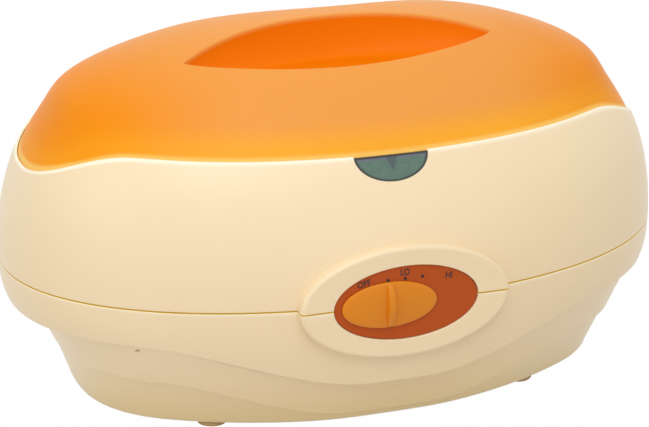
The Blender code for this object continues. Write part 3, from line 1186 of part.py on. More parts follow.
def wire(name, points, parts, mat):
    route = smooth_route(points, WIRE_BEND)
    curve = bpy.data.curves.new(name, "CURVE")
    curve.dimensions = "3D"
    curve.bevel_depth = WIRE_RADIUS
    curve.bevel_resolution = 1
    curve.use_fill_caps = True
    spline = curve.splines.new("POLY")
    spline.points.add(len(route) - 1)
    for point, place in zip(spline.points, route):
        point.co = (*place, 1.0)
    curve.materials.append(mat)
    obj = bpy.data.objects.new(name, curve)
    parts.objects.link(obj)
    return obj


def switch_wire(parts, mat):
    """Along the floor under the heat shield, then up in front of the tank to the switch."""
    run = (FLOOR_TOP + SHIELD_HEIGHT) / 2
    behind = -SWITCH_BACK - 2 * WIRE_RADIUS
    points = [(BLOCK_X, BLOCK_Y - BLOCK_DEPTH / 2 - FIT_GAP, run), (BLOCK_X, 0, run),
              (-SWITCH_HALF_LENGTH, -SHIELD_HALF_DEPTH, run),
              (-SWITCH_HALF_LENGTH / 2, behind + WIRE_BEND, PARTING_HEIGHT / 2),
              (-SWITCH_HALF_LENGTH / 2, behind, PARTING_HEIGHT - SWITCH_HALF_HEIGHT - 2 * WIRE_BEND),
              (-SWITCH_HALF_LENGTH / 2, behind, PARTING_HEIGHT - SWITCH_HALF_HEIGHT - FIT_GAP)]
    return wire("switch_wire", points, parts, mat)


def heater_wire(parts, mat):
    """From the terminal block over the edge of the heat shield to the first thermostat."""
    x = BLOCK_X + BLOCK_SCREW_PITCH / 2
    start = FLOOR_TOP + 2 * FIT_GAP + BLOCK_HEIGHT
    level_run = CLAMP_BOTTOM - THERMOSTAT_BODY_HEIGHT - THERMOSTAT_TAB_LENGTH / 2
    tab_y = THERMOSTAT_TAB_LENGTH / 2 + THERMOSTAT_TAB_THICKNESS / 2 + FIT_GAP
    points = [(x, BLOCK_Y, start), (x, BLOCK_Y - WIRE_RADIUS, level_run),
              (x, BLOCK_Y - 2 * WIRE_BEND, level_run + WIRE_RADIUS),
              (-THERMOSTAT_SPACING / 2, tab_y + 2 * WIRE_BEND, level_run),
              (-THERMOSTAT_SPACING / 2, tab_y, level_run)]
    return wire("heater_wire", points, parts, mat)


def lamp_wire(parts, mat):
    """Up inside the front wall from the switch to the lamp board."""
    x = SWITCH_HALF_LENGTH / 2
    start = -SWITCH_BACK - 2 * WIRE_RADIUS
    end_y = lamp_board_y() + WIRE_RADIUS
    top = lamp_board_height() - FIT_GAP
    points = [(x, start, PARTING_HEIGHT + SWITCH_HALF_HEIGHT + FIT_GAP),
              (x, start, PARTING_HEIGHT + SWITCH_HALF_HEIGHT + 2 * WIRE_BEND),
              (x, end_y, top - 2 * WIRE_BEND), (x, end_y, top)]
    return wire("lamp_wire", points, parts, mat)


def build():
    clear_scene()
    parts = new_collection("paraffin_bath")
    tools = new_collection("cutters")
    cream = material("cream_plastic", (0.93, 0.82, 0.62), 0.42)
    orange = material("lid_plastic", (0.93, 0.42, 0.09), 0.30, alpha=0.92)
    rust = material("plate_plastic", (0.46, 0.12, 0.03), 0.40)
    knob_orange = material("knob_plastic", (0.80, 0.32, 0.06), 0.35)
    smoke = material("lens_plastic", (0.06, 0.12, 0.10), 0.15)
    aluminium = material("tank_aluminium", (0.80, 0.81, 0.82), 0.35, 1.0)
    steel = material("plated_steel", (0.62, 0.62, 0.60), 0.40, 1.0)
    silicone = material("silicone", (0.75, 0.73, 0.70), 0.60)
    grate_white = material("grate_plastic", (0.85, 0.84, 0.80), 0.45)
    mica = material("mica", (0.55, 0.48, 0.36), 0.70)
    felt = material("glass_felt", (0.82, 0.80, 0.74), 0.95)
    ceramic = material("thermostat_body", (0.10, 0.09, 0.08), 0.50)
    black = material("black_plastic", (0.03, 0.03, 0.03), 0.45)
    board = material("board", (0.45, 0.32, 0.14), 0.60)
    glow = material("lamp_glass", (0.90, 0.45, 0.25), 0.10)
    rubber = material("foot_rubber", (0.42, 0.34, 0.24), 0.80)

    upper_housing(parts, tools, cream)
    lower_housing(parts, tools, cream)
    lid(parts, tools, orange)
    tank(parts, aluminium)
    tank_gasket(parts, silicone)
    insulation_blanket(parts, felt)
    bath_grate(parts, tools, grate_white)
    heater_plate(parts, tools, mica)
    heater_clamp(parts, tools, steel)
    for k, place in enumerate(stud_places(), 1):
        heater_stud(f"heater_stud_{k}", place, parts, steel)
        heater_nut(f"heater_nut_{k}", place, parts, tools, steel)
    thermostat("thermostat_low", -THERMOSTAT_SPACING / 2, parts, tools, ceramic)
    thermostat("thermostat_high", THERMOSTAT_SPACING / 2, parts, tools, ceramic)
    thermal_fuse(parts, felt)
    fuse_clip(parts, steel)
    heat_shield(parts, steel)
    control_plate(parts, tools, rust)
    slide_knob(parts, tools, knob_orange)
    slider_carriage(parts, tools, black)
    switch_lever(parts, black)
    slide_switch(parts, tools, black)
    switch_bracket(parts, tools, steel)
    bracket_screw("bracket_screw_left", -1, parts, tools, steel)
    bracket_screw("bracket_screw_right", 1, parts, tools, steel)
    indicator_lens(parts, tools, smoke)
    lamp_board(parts, board)
    indicator_lamp("power_lamp", -1, parts, glow)
    indicator_lamp("ready_lamp", 1, parts, glow)
    for name, sx, sy in (("front_left", -1, -1), ("front_right", 1, -1), ("back_left", -1, 1), ("back_right", 1, 1)):
        foot("foot_" + name, sx, sy, parts, tools, rubber)
        housing_screw("housing_screw_" + name, sx, sy, parts, tools, steel)
    cord_gland(parts, tools, black)
    gland_nut(parts, tools, black)
    terminal_block(parts, tools, black)
    switch_wire(parts, black)
    heater_wire(parts, felt)
    lamp_wire(parts, black)

    centre = bpy.data.objects.new("box_centre", None)
    centre.location = (0, DEPTH_SHIFT, 0)
    parts.objects.link(centre)
    for obj in list(parts.objects) + list(tools.objects):
        if obj is not centre:
            obj.parent = centre
    bpy.context.view_layer.update()


build()
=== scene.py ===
"""Paraffin bath: the finished look of a heated wax bath for the hands.

The packed model is the frame. Finer housings, a lid with two finger scoops, a slide control, an
indicator window and an open tank are built round it here. Lengths are metres, +Z is up, -Y is the front.
"""
import json
from math import copysign, cos, pi, radians, sin

import bmesh
import bpy
from bpy.props import FloatProperty, FloatVectorProperty, IntProperty, PointerProperty
from mathutils import Matrix, Vector


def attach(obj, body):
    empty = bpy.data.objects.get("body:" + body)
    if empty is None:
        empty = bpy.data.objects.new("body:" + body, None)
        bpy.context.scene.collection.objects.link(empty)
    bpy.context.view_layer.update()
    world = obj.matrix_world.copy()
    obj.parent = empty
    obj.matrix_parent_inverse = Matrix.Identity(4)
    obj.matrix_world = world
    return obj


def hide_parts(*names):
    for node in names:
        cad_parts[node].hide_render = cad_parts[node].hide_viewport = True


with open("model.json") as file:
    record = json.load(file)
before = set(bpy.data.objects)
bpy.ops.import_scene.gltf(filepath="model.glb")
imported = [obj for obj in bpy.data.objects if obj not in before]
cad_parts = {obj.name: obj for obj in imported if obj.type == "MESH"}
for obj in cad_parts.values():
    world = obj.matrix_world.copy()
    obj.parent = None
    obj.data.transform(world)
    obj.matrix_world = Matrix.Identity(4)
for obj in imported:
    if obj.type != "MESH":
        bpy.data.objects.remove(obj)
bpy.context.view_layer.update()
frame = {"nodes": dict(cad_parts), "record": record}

bl_info = {
    "name": "Paraffin Bath",
    "version": (1, 0, 0),
    "blender": (4, 5, 0),
    "location": "View3D > Sidebar > Bath",
    "description": "Builds the finished look of a heated paraffin bath round its packed model",
    "category": "Object",
}

MM = 0.001
OVERRUN = 4 * MM            # how far a cutting tool reaches past what it cuts
FACE_RING = 0.4 * MM        # last ring of a flat face inside its rounded edge
OVAL_STEPS = 160            # points round the ovals of the plate, the boss and the tank
DOME_ROWS = 26              # rings of the upper shell, from the seam to the rim
SKIRT_ROWS = (12, 8, 5)     # rings of the skirt's three bands, outside
SKIRT_ROWS_INSIDE = (4, 3, 2)
CORNERS = (("front_left", -1, -1), ("back_left", -1, 1), ("front_right", 1, -1), ("back_right", 1, 1))
NOTCH_CORNERS = ((-1.0, 0.25), (0.35, 1.25), (1.0, -0.25))     # across and down, in half widths
FOOT_EDGE = ((2.6, 0.5), (2.0, 0.0), (0.9, 0.0), (0.35, 0.2), (0.05, 0.7), (0.0, 1.2))     # in and up, mm
SILICONE = (0.52, 0.50, 0.46)
COLOR_A, COLOR_B, COLOR_RESULT = 6, 7, 2     # colour sockets of the Mix node
LETTERS = (("OFF", -23.6, 12.8, 9), ("LO", -1.0, 16.7, 0), ("HI", 23.6, 12.0, -6))     # x, z in mm; tilt


# Properties

def length(label, text, default):
    return FloatProperty(name=label, description=text, default=default, unit="LENGTH", precision=4)


def share(label, text, default):
    return FloatProperty(name=label, description=text, default=default, precision=3)


def turn(label, text, degrees):
    return FloatProperty(name=label, description=text, default=radians(degrees), subtype="ANGLE")


def watts(label, text, default):
    return FloatProperty(name=label, description=text, default=default, unit="POWER")


def stations(label, text, *values):
    return FloatVectorProperty(name=label, description=text, default=values, size=len(values), precision=3)


def count(label, text, default):
    return IntProperty(name=label, description=text, default=default, min=3)


def to_linear(level):
    level /= 255
    return level / 12.92 if level <= 0.04045 else ((level + 0.055) / 1.055) ** 2.4


def tint(label, text, red, green, blue):
    """A colour written as it shows on a screen, 0 to 255, and kept linear."""
    return FloatVectorProperty(name=label, description=text, subtype="COLOR", size=3, min=0, max=1,
                               default=[to_linear(c) for c in (red, green, blue)])


def signed_power(value, power):
    return copysign(abs(value) ** power, value)


def ease(value):
    value = min(max(value, 0.0), 1.0)
    return value * value * (3 - 2 * value)


def blend(a, b, amount):
    return a + (b - a) * amount


def arc(whole, steps):
    """Evenly spaced angles from 0 up to a whole."""
    return [whole * k / steps for k in range(steps + 1)]


def full_turn(steps):
    return arc(2 * pi, steps)[:-1]


def oval_point(half_length, half_depth, power, angle, height):
    """Point of a level oval. Its power is 2 for an ellipse and more for a squarer plan."""
    return Vector((half_length * signed_power(cos(angle), 2 / power),
                   half_depth * signed_power(sin(angle), 2 / power), height))


def through(values, amount):
    """A smooth curve through evenly spaced values, from 0 at the first to 1 at the last."""
    last = len(values) - 1
    k = min(int(amount * last), last - 1)
    t = amount * last - k
    a, b, c, d = values[max(k - 1, 0)], values[k], values[k + 1], values[min(k + 2, last)]
    return b + t / 2 * (c - a + t * (2 * a - 5 * b + 4 * c - d + t * (3 * (b - c) + d - a)))


class BathForm(bpy.types.PropertyGroup):
    """The outer form that both housings and the lid share."""
    half_length: length("Half length", "Middle to either end at the parting line", 0.189)
    half_depth: length("Half depth", "Middle to front at the parting line", 0.1205)
    shift: length("Depth shift", "How far behind the box's middle the body's middle lies", 0.0039)
    parting: length("Parting height", "Height of the line between the housings", 0.080)
    top: length("Total height", "Crown of the lid above the table", 0.2068)
    power_low: share("Oval power, parting", "Squareness of the plan at the parting line", 2.14)
    end_power: share("End power", "How late the dome starts to close in towards its ends", 2.18)
    end_share_power: share("End roundness", "Squareness of the dome seen from the front", 0.344)
    side_power: share("Side power", "How late the dome starts to close in towards its front and back", 2.2)
    side_share_power: share("Side roundness", "Squareness of the dome seen from the end", 0.588)
    end_fullness: stations("End fullness", "Fullness of the end profile, parting line to crown",
                           1.000, 1.001, 1.014, 1.062, 1.027, 0.982)
    side_fullness: stations("Side fullness", "Fullness of the side profile, parting line to crown",
                            1.000, 0.985, 0.994, 1.039, 1.108, 1.190)
    plan_power: stations("Oval powers", "Squareness of the plan, parting line to crown",
                         2.140, 2.342, 2.392, 2.287, 2.250, 2.330)
    rim: length("Rim height", "Height of the rim in the middle of the front", 0.1533)
    rim_sweep: length("Rim sweep", "How far the rim climbs before its waves", 0.0025)
    rim_sweep_to: share("Rim sweep end", "Share of the half length where the climb ends", 0.70)
    rim_sweep_power: share("Rim sweep power", "How late the rim climbs", 1.3)
    rim_drop: length("Rim drop", "How far the rim falls to the ends", 0.0186)
    rim_start: share("Rim wave start", "Share of the half length where the rim starts to fall", 0.76)
    rim_power: share("Rim wave power", "How late the rim falls", 2.15)
    seam_gap: length("Seam gap", "Gap between the two housings", 0.0008)
    fit_gap: length("Fit gap", "Gap between pieces that meet", 0.0003)
    wall: length("Wall", "Wall of the housings", 0.0026)
    around: count("Steps around", "Steps around the housings and the lid", 240)

    def axes(self, height):
        """Half length, half depth and squareness of the dome at a height."""
        rise = min(max((height - self.parting) / (self.top - self.parting), 0.0), 1.0)
        place = rise * rise
        ends = (1 - rise ** self.end_power) ** self.end_share_power * through(self.end_fullness, place)
        sides = (1 - rise ** self.side_power) ** self.side_share_power * through(self.side_fullness, place)
        return self.half_length * min(ends, 1), self.half_depth * sides, through(self.plan_power, place)

    def end_share(self, angle):
        """0 in the middle of the front and back, 1 at the two ends."""
        return abs(cos(angle)) ** (2 / self.power_low)

    def rim_at(self, place):
        """Height of the rim where a point lies this share of the half length from the middle."""
        climb = min(place / self.rim_sweep_to, 1.0) ** self.rim_sweep_power
        fall = max((place - self.rim_start) / (1 - self.rim_start), 0.0) ** self.rim_power
        return self.rim + self.rim_sweep * climb - self.rim_drop * fall

    def above_rim(self, point):
        """Height of a point above the rim line that lies nearest to it."""
        half_length = self.axes(min(point.z, self.rim))[0]
        return point.z - self.rim_at(min(abs(point.x) / half_length, 1.0))

    def rim_height(self, angle):
        return self.rim_at(self.end_share(angle))

    def dome_point(self, angle, height, inset):
        half_length, half_depth, power = self.axes(height)
        return oval_point(half_length - inset, half_depth - inset, power, angle, height)

    def dome_ring(self, height_at, inset):
        return [self.dome_point(a, height_at(a), inset) for a in full_turn(self.around)]

    def dome_height(self, x, y, inset):
        """Height of the dome above a point of the plan, found by halving."""
        low, high = self.parting, self.top
        halvings, smallest = 30, 1e-6
        for _ in range(halvings):
            middle = (low + high) / 2
            half_length, half_depth, power = self.axes(middle)
            across = abs(x / max(half_length - inset, smallest))
            deep = abs(y / max(half_depth - inset, smallest))
            low, high = (middle, high) if across ** power + deep ** power < 1 else (low, middle)
        return low

    def below_rim(self, depth):
        """The height, by angle, of a line that follows the rim at a depth."""
        return lambda angle: self.rim_height(angle) - depth


class SkirtForm(bpy.types.PropertyGroup):
    """The stepped, wavy lower half."""
    base: length("Base height", "Underside above the table", 0.003)
    end_tuck: length("End tuck", "Run of the end profile, had it gone on to the table", 0.1202)
    end_power: share("End tuck power", "How late the ends tuck in", 2.667)
    side_tuck: length("Side tuck", "The same for the front and back", 0.0147)
    side_power: share("Side tuck power", "How late the front and back tuck in", 1.715)
    upper_end: length("Upper ledge, ends", "Height of the upper ledge at the ends", 0.0580)
    upper_front: length("Upper ledge, front", "Height of the upper ledge in the middle", 0.0322)
    upper_from: share("Upper ledge rise from", "Share of the half length where it starts to rise", 0.108)
    upper_to: share("Upper ledge rise to", "Share where it is level again", 0.721)
    upper_bend: share("Upper ledge bend", "How late the upper ledge rises between the two", 1.043)
    lower_end: length("Lower ledge, ends", "Height of the lower ledge at the ends", 0.0338)
    lower_front: length("Lower ledge, front", "Height of the lower ledge in the middle", 0.0096)
    lower_from: share("Lower ledge rise from", "Share of the half length where it starts to rise", 0.114)
    lower_to: share("Lower ledge rise to", "Share where it is level again", 0.726)
    upper_step: length("Upper ledge step", "How far the skirt steps in under the upper ledge", 0.0060)
    upper_step_end: length("Upper step, ends", "The same step at the two ends", 0.0124)
    lower_step: length("Lower ledge step", "How far it steps in under the lower ledge", 0.0014)
    middle_run: length("Middle band run, ends", "Run in of the middle band at the ends", 0.0106)
    middle_fall: length("Middle band fall, ends", "Height of the middle band at the ends", 0.0247)
    middle_bend: share("Middle band bend", "How late the middle band runs in at the ends", 0.852)
    middle_side: share("Middle band, front", "Run in per fall in the middle", 0.391)
    middle_power: share("Middle band power", "Squareness of the middle band's plan", 2.605)
    foot_end: share("Foot band, ends", "Run in per fall at the ends", 0.356)
    foot_side: share("Foot band, front", "Run in per fall in the middle", 0.550)
    foot_power: share("Foot band power", "Squareness of the foot band's plan", 2.570)
    ledge_round: length("Ledge rounding", "Rounding of the ledges' edges", 0.0010)
    base_round: length("Base rounding height", "Height of the rounding into the underside", 0.0058)
    base_run: length("Base rounding run", "Run of the rounding into the underside", 0.0101)
    tunnel_x: length("Screw tunnel x", "Screw tunnels from the middle, along the bath", 0.128)
    tunnel_y: length("Screw tunnel y", "Screw tunnels from the middle, front and back", 0.076)
    tunnel_radius: length("Screw tunnel radius", "Bore of the screw tunnels", 0.0034)
    cover_gap: length("Screw cover gap", "Gap round the covers that close the screw tunnels", 0.0001)
    cover_sink: length("Screw cover sink", "How far the covers lie inside the skirt's face", 0.00005)
    cover_top: length("Screw cover top", "Top of the covers, below the screw heads", 0.0590)
    notch_x: length("Notch x", "Dents under the upper ledge, along the bath", 0.1343)
    notch_y: length("Notch y", "Dents under the upper ledge, front and back", 0.0823)
    notch_height: length("Notch height", "Height of the dents", 0.0562)
    notch_size: length("Notch size", "Half width of the dents", 0.0026)
    notch_depth: length("Notch depth", "Depth of the dents", 0.0004)
    tunnel_top: length("Screw seat height", "Seat of the screw heads", 0.064)
    tube_radius: length("Screw tube radius", "Outside of the screw tubes", 0.0052)

    def ledges(self, angle, form, lift):
        """Heights of the two ledges at an angle."""
        place = form.end_share(angle)
        climb = max((place - self.upper_from) / (self.upper_to - self.upper_from), 0.0) ** self.upper_bend
        upper = blend(self.upper_front, self.upper_end, ease(climb))
        lower = blend(self.lower_front, self.lower_end,
                      ease((place - self.lower_from) / (self.lower_to - self.lower_from)))
        return upper + lift, lower + lift

    def point(self, angle, height, band, inset, lift, form):
        """Point of the skirt in band 0, 1 or 2, counted from the top."""
        upper, lower = self.ledges(angle, form, lift)
        drop = (form.parting - max(height, upper)) / form.parting
        half_length = form.half_length - self.end_tuck * drop ** self.end_power
        half_depth = form.half_depth - self.side_tuck * drop ** self.side_power
        if band >= 1:
            fall = upper - max(height, lower)
            run = self.middle_run * (fall / self.middle_fall) ** self.middle_bend
            half_length -= self.upper_step_end + run
            half_depth -= self.upper_step + self.middle_side * fall
        if band >= 2:
            fall = lower - height
            half_length -= self.lower_step + self.foot_end * fall
            half_depth -= self.lower_step + self.foot_side * fall
        power = (form.power_low, self.middle_power, self.foot_power)[band]
        return oval_point(half_length - inset, half_depth - inset, power, angle, height)

    def rings(self, form, inset, lift, top, bottom, rows):
        """Rings from the top down, and the numbers of the rings at the ledges' corners."""
        rings, corners = [], []
        for band in range(3):
            for k in range(rows[band] + 1):
                ring = []
                for angle in full_turn(form.around):
                    upper, lower = self.ledges(angle, form, lift)
                    start, stop = ((top, upper), (upper, lower), (lower, bottom))[band]
                    height = blend(start, stop, k / rows[band])
                    ring.append(self.point(angle, height, band, inset, lift, form))
                if band and k == 0 or band < 2 and k == rows[band]:
                    corners.append(len(rings))
                rings.append(ring)
        return rings, corners


class HousingSettings(bpy.types.PropertyGroup):
    """Rim, boss and colours of the two housings."""
    rim_width: length("Rim width", "Width of the rounded rim", 0.0014)
    seam_round: length("Seam edge rounding", "Rounding of the upper shell's edge at the seam", 0.0004)
    lower_round: length("Seam edge rounding, lower", "The same for the lower shell", 0.00045)
    rim_round: length("Rim rounding", "Rounding of the rim's outer edge", 0.00085)
    rim_round_inside: length("Rim rounding, inside", "Rounding of the rim's inner edge", 0.0006)
    shoulder_corner: length("Shoulder corner", "Rounding of the corner behind the lid's seat", 0.0004)
    shoulder_round: length("Shoulder rounding", "Rounding of the seat's free edge", 0.0008)
    well_round: length("Well rounding", "Rounding of the edge round the tank's flange", 0.0012)
    shoulder_depth: length("Shoulder depth", "How deep the lid's seat lies below the rim", 0.0025)
    shoulder_width: length("Shoulder width", "Width of the lid's seat", 0.0036)
    boss_half_length: length("Boss half length", "Half length of the control boss", 0.0580)
    boss_half_height: length("Boss half height", "Half height of the control boss", 0.0309)
    boss_proud: length("Boss proud", "How far the boss stands in front of the widest line", 0.0023)
    boss_back: length("Boss back", "How far its back lies behind the widest line", 0.0145)
    boss_round: length("Boss rounding", "Rounding of the boss's front edge", 0.0022)
    seat_height: length("Tank seat height", "Where the tank's flange rests", 0.1330)
    seat_thickness: length("Seat thickness", "Thickness of the tank's seat", 0.0025)
    lip_height: length("Lip height", "Height of the lower shell's lip inside the seam", 0.0030)
    lip_thickness: length("Lip thickness", "Thickness of that lip", 0.0015)
    pocket_flare: length("Pocket edge", "Broken edge of the pocket for the plate", 0.00035)
    cream: tint("Cream", "Colour of the housings", 244, 222, 184)
    cream_deep: tint("Deep cream", "Cream where the plastic is thick or shaded", 240, 214, 170)
    # Painted shade: the cream deepens towards the table, standing in for the shade low on the housing.
    painted_low_shade: tint("Cream near the feet", "Cream of the lowest part of the housing", 235, 210, 153)
    painted_low_shade_height: length("Low cream height", "Height up to which that cream reaches", 0.045)
    painted_low_shade_share: share("Low cream strength", "Strength of that cream at the table", 0.9)
    # Painted highlight: a paler line along the rim, and a fainter one under the seam, stands in for light
    # on the rounded edges and through the thin rim.
    rim_light: tint("Rim light", "Paler line where the thin rim lets light through", 255, 244, 218)
    rim_light_depth: length("Rim light depth", "How far down from the rim that line goes", 0.0018)
    seam_light: share("Seam light", "Strength of the same line just under the seam", 0.5)
    # Painted shade and painted glow: the seam's warm colour and its emission stand in for the shade and the
    # light bounced inside the narrow gap.
    seam: tint("Seam", "Warm shade inside the parting seam", 214, 182, 36)
    seam_glow: share("Seam glow", "Light that the seam gives back from inside", 0.26)


class LidSettings(bpy.types.PropertyGroup):
    """The translucent lid."""
    wall: length("Wall", "Wall of the lid", 0.0024)
    gap: length("Gap", "Gap between the lid and the rim", 0.0004)
    scoop_offset: length("Scoop offset", "How far the front scoop sits left of the middle", 0.0056)
    scoop_half_length: length("Scoop half length", "Half length of each leaf-shaped scoop", 0.0871)
    scoop_tip: length("Scoop tip", "Distance of the scoop's tips from the middle line", 0.0324)
    scoop_near: length("Scoop outer edge", "Outer edge of the scoop from the middle line", 0.0569)
    scoop_far: length("Scoop inner edge", "Inner edge of the scoop from the middle line", 0.0088)
    scoop_bend: share("Scoop bend", "How blunt the outer edge makes the scoop's tips, 1 is sharp", 0.78)
    scoop_depth: length("Scoop depth", "Depth of the scoop below the crown", 0.0240)
    scoop_floor: share("Scoop floor", "Size of the scoop's floor to its mouth", 0.62)
    scoop_round: length("Scoop rounding", "Rounding of the scoop's edge", 0.0010)
    scoop_turn: turn("Scoop edge turn", "Turn of that rounding, 90 is tangent to the dome", 82)
    orange: tint("Orange", "Colour of the lid", 238, 158, 76)
    # Painted light: the glows below stand in for light in and on the translucent lid, yellower above the
    # rim, a painted highlight along its edge, deeper where light passes through the ends and bounces inside
    # the scoops.
    edge_glow: tint("Edge glow", "Yellower orange above the rim", 252, 174, 38)
    lip_glow: tint("Lip glow", "Pale line of light along the lid's edge", 253, 198, 100)
    end_glow: tint("End glow", "Deeper orange of the lid's two ends", 242, 142, 14)
    scoop_glow: tint("Scoop glow", "Deeper orange inside the scoops", 240, 124, 0)


class ControlSettings(bpy.types.PropertyGroup):
    """Oval plate, slide knob and lettering."""
    plate_half_length: length("Plate half length", "Half length of the oval plate", 0.0399)
    plate_half_height: length("Plate half height", "Half height of the oval plate", 0.0202)
    plate_thickness: length("Plate thickness", "Thickness of the plate", 0.0025)
    plate_sink: length("Plate sink", "How far the plate lies behind the boss's face", 0.0010)
    plate_seat: length("Plate seat width", "Width of the ledge behind the plate", 0.0024)
    knob_half_length: length("Knob half length", "Half length of the oval knob", 0.0262)
    knob_half_height: length("Knob half height", "Half height of the oval knob", 0.0126)
    knob_height: length("Knob height", "Crest of the knob in front of the plate", 0.0062)
    knob_edge: length("Knob edge", "Thickness of the knob's edge", 0.0012)
    knob_crown: length("Knob crown", "Thickness of the knob beside its blade", 0.0028)
    blade_half_width: length("Blade half width", "Half width of the grip blade", 0.0019)
    travel: length("Travel", "Travel of the knob from OFF to HI", 0.0192)
    stem_length: length("Stem length", "Stem behind the knob, along its travel", 0.0080)
    stem_height: length("Stem height", "Height of that stem", 0.0060)
    plate_round: length("Plate rounding", "Rounding of the plate's front edge", 0.0003)
    letter_height: length("Letter height", "Height of the capitals", 0.0036)
    letter_width: share("Letter width", "Width of the capitals to that of the plain font", 0.86)
    letter_weight: share("Letter weight", "How much their strokes are thickened", 0.022)
    ink_thickness: length("Ink thickness", "Thickness of the printed letters", 0.00006)
    dot_radius: length("Dot radius", "Radius of the three printed dots", 0.00092)
    dot_shift: length("Dot shift", "How far the row of dots lies right of the middle", -0.0008)
    dot_height: length("Dot height", "Row of dots above the parting line", 0.0133)
    rust: tint("Rust", "Colour of the oval plate", 186, 80, 22)
    knob: tint("Knob", "Colour of the knob", 224, 134, 20)
    ink: tint("Ink", "Colour of the letters and dots", 36, 18, 26)


class WindowSettings(bpy.types.PropertyGroup):
    """Half-moon indicator window."""
    half_width: length("Half width", "Half width of the window", 0.0203)
    drop: length("Drop", "Height of the window", 0.0121)
    top_sink: length("Top sink", "How far its straight edge lies below the rim", 0.0002)
    thickness: length("Thickness", "Thickness of the lens", 0.0013)
    pocket: length("Pocket", "Depth of the lens's pocket", 0.0017)
    smoke: tint("Smoked green", "Colour of the lens", 80, 112, 96)
    band: tint("Upper band", "Bluish band along the straight edge", 92, 96, 112)
    shade: tint("Middle shade", "Dark triangle in the middle", 60, 76, 78)
    outline: tint("Outline", "Dark line round the lens", 14, 8, 8)


class BathSettings(bpy.types.PropertyGroup):
    """Tank, seal, guard, feet and gland."""
    half_length: length("Tank half length", "Half length of the tank below its flange", 0.1480)
    half_depth: length("Tank half depth", "Half depth of the tank below its flange", 0.0780)
    power: share("Tank power", "Squareness of the tank's plan", 2.3)
    wall: length("Tank wall", "Wall of the tank", 0.0015)
    flange_width: length("Flange width", "Width of the tank's flange", 0.0075)
    floor: length("Tank floor", "Underside of the tank above the table", 0.0400)
    taper: length("Taper", "How far the tank narrows down to its floor", 0.0150)
    corner: length("Corner", "Rounding from the wall into the floor", 0.0140)
    flange_corner: length("Flange corner", "Rounding from the wall into the flange, below", 0.0008)
    flange_round: length("Flange rounding", "Rounding of the flange's edge", 0.0006)
    mouth_round: length("Mouth rounding", "Rounding from the flange into the tank", 0.0016)
    seal_thickness: length("Seal thickness", "Thickness of the seal under the flange", 0.0012)
    seal_width: length("Seal width", "Width of the seal", 0.0050)
    guard_height: length("Guard height", "Top of the finger guard above the floor", 0.0050)
    guard_thickness: length("Guard thickness", "Thickness of the guard", 0.0020)
    guard_margin: length("Guard margin", "Room between the guard and the tank", 0.0070)
    slot_width: length("Slot width", "Width of the guard's slots", 0.0080)
    bar_width: length("Bar width", "Width of the bars between the slots", 0.0140)
    border: length("Border", "Border of the guard", 0.0100)
    leg_radius: length("Leg radius", "Radius of the guard's legs", 0.0040)
    leg_x_share: share("Leg place, along", "Place of the legs, as a share of the guard's half length", 0.60)
    leg_y_share: share("Leg place, across", "The same for its half depth", 0.55)
    foot_x: length("Foot x", "Feet from the middle, along the bath", 0.090)
    foot_y: length("Foot y", "Feet from the middle, front and back", 0.0640)
    foot_radius: length("Foot radius", "Radius of the rubber feet", 0.0085)
    foot_height: length("Foot height", "Height of the feet under the housing", 0.0027)
    foot_stem: length("Foot stem", "Radius of the stem pushed into the floor", 0.0030)
    foot_stem_top: length("Foot stem top", "Top of that stem above the table", 0.0059)
    gland_height: length("Gland height", "Height of the cord gland", 0.046)
    gland_depth: length("Gland depth", "Seat of the gland, inwards from the widest line", 0.0085)
    gland_radius: length("Gland radius", "Radius of the gland's flange", 0.0105)
    gland_bore: length("Gland bore", "Radius of the gland's bore", 0.0042)
    gland_body: length("Gland body", "Radius of the gland inside the wall", 0.0065)
    gland_length: length("Gland length", "Length of the gland inside its seat", 0.0149)
    gland_flange: length("Gland flange", "Thickness of the gland's flange", 0.0020)
    gland_boss: length("Gland boss", "Radius of the boss in the wall that carries the gland", 0.0135)
    gland_boss_depth: length("Gland boss depth", "Length of that boss", 0.0100)
    metal: tint("Aluminium", "Colour of the tank", 214, 215, 217)
    rubber: tint("Rubber", "Colour of the feet", 212, 178, 122)

    def section(self, flange_low, height, grow):
        """Half length and half depth of the tank at a height below its flange."""
        amount = min(max((flange_low - height) / (flange_low - self.floor), 0.0), 1.0)
        rise = max((self.floor + self.corner - height) / self.corner, 0.0)
        inset = self.taper * amount + self.corner * (1 - (1 - min(rise, 1.0) ** 2) ** 0.5)
        return self.half_length - inset + grow, self.half_depth - inset + grow


class StageSettings(bpy.types.PropertyGroup):
    """Camera, floor and lamps."""
    azimuth: turn("Azimuth", "Camera to the left of straight ahead", 18.95)
    elevation: turn("Elevation", "Camera above the horizon", 20.03)
    distance: length("Distance", "Camera from the middle of the view", 1.29848)
    across: length("Aim across", "Middle of the view, to the right of the origin", -0.00318)
    upward: length("Aim up", "Middle of the view, up from the origin", 0.08177)
    lens: FloatProperty(name="Lens", description="Focal length", default=123.785, unit="CAMERA")
    floor_tone: tint("Floor", "Colour that the floor gives to the light it returns", 212, 208, 202)
    key_power: watts("Key power", "Soft lamp above the front", 6.5)
    fill_power: watts("Fill power", "Soft lamp at the left", 2)
    back_power: watts("Back power", "Soft lamp behind at the right", 1.6)
    lamp_aim: length("Lamp aim", "Height that the lamps point at", 0.09)
    ambient: share("Ambient", "Level of the surrounding light", 0.74)
    floor_white: share("Floor white", "How white the floor shows where it is seen directly", 0.99)


# Shader building

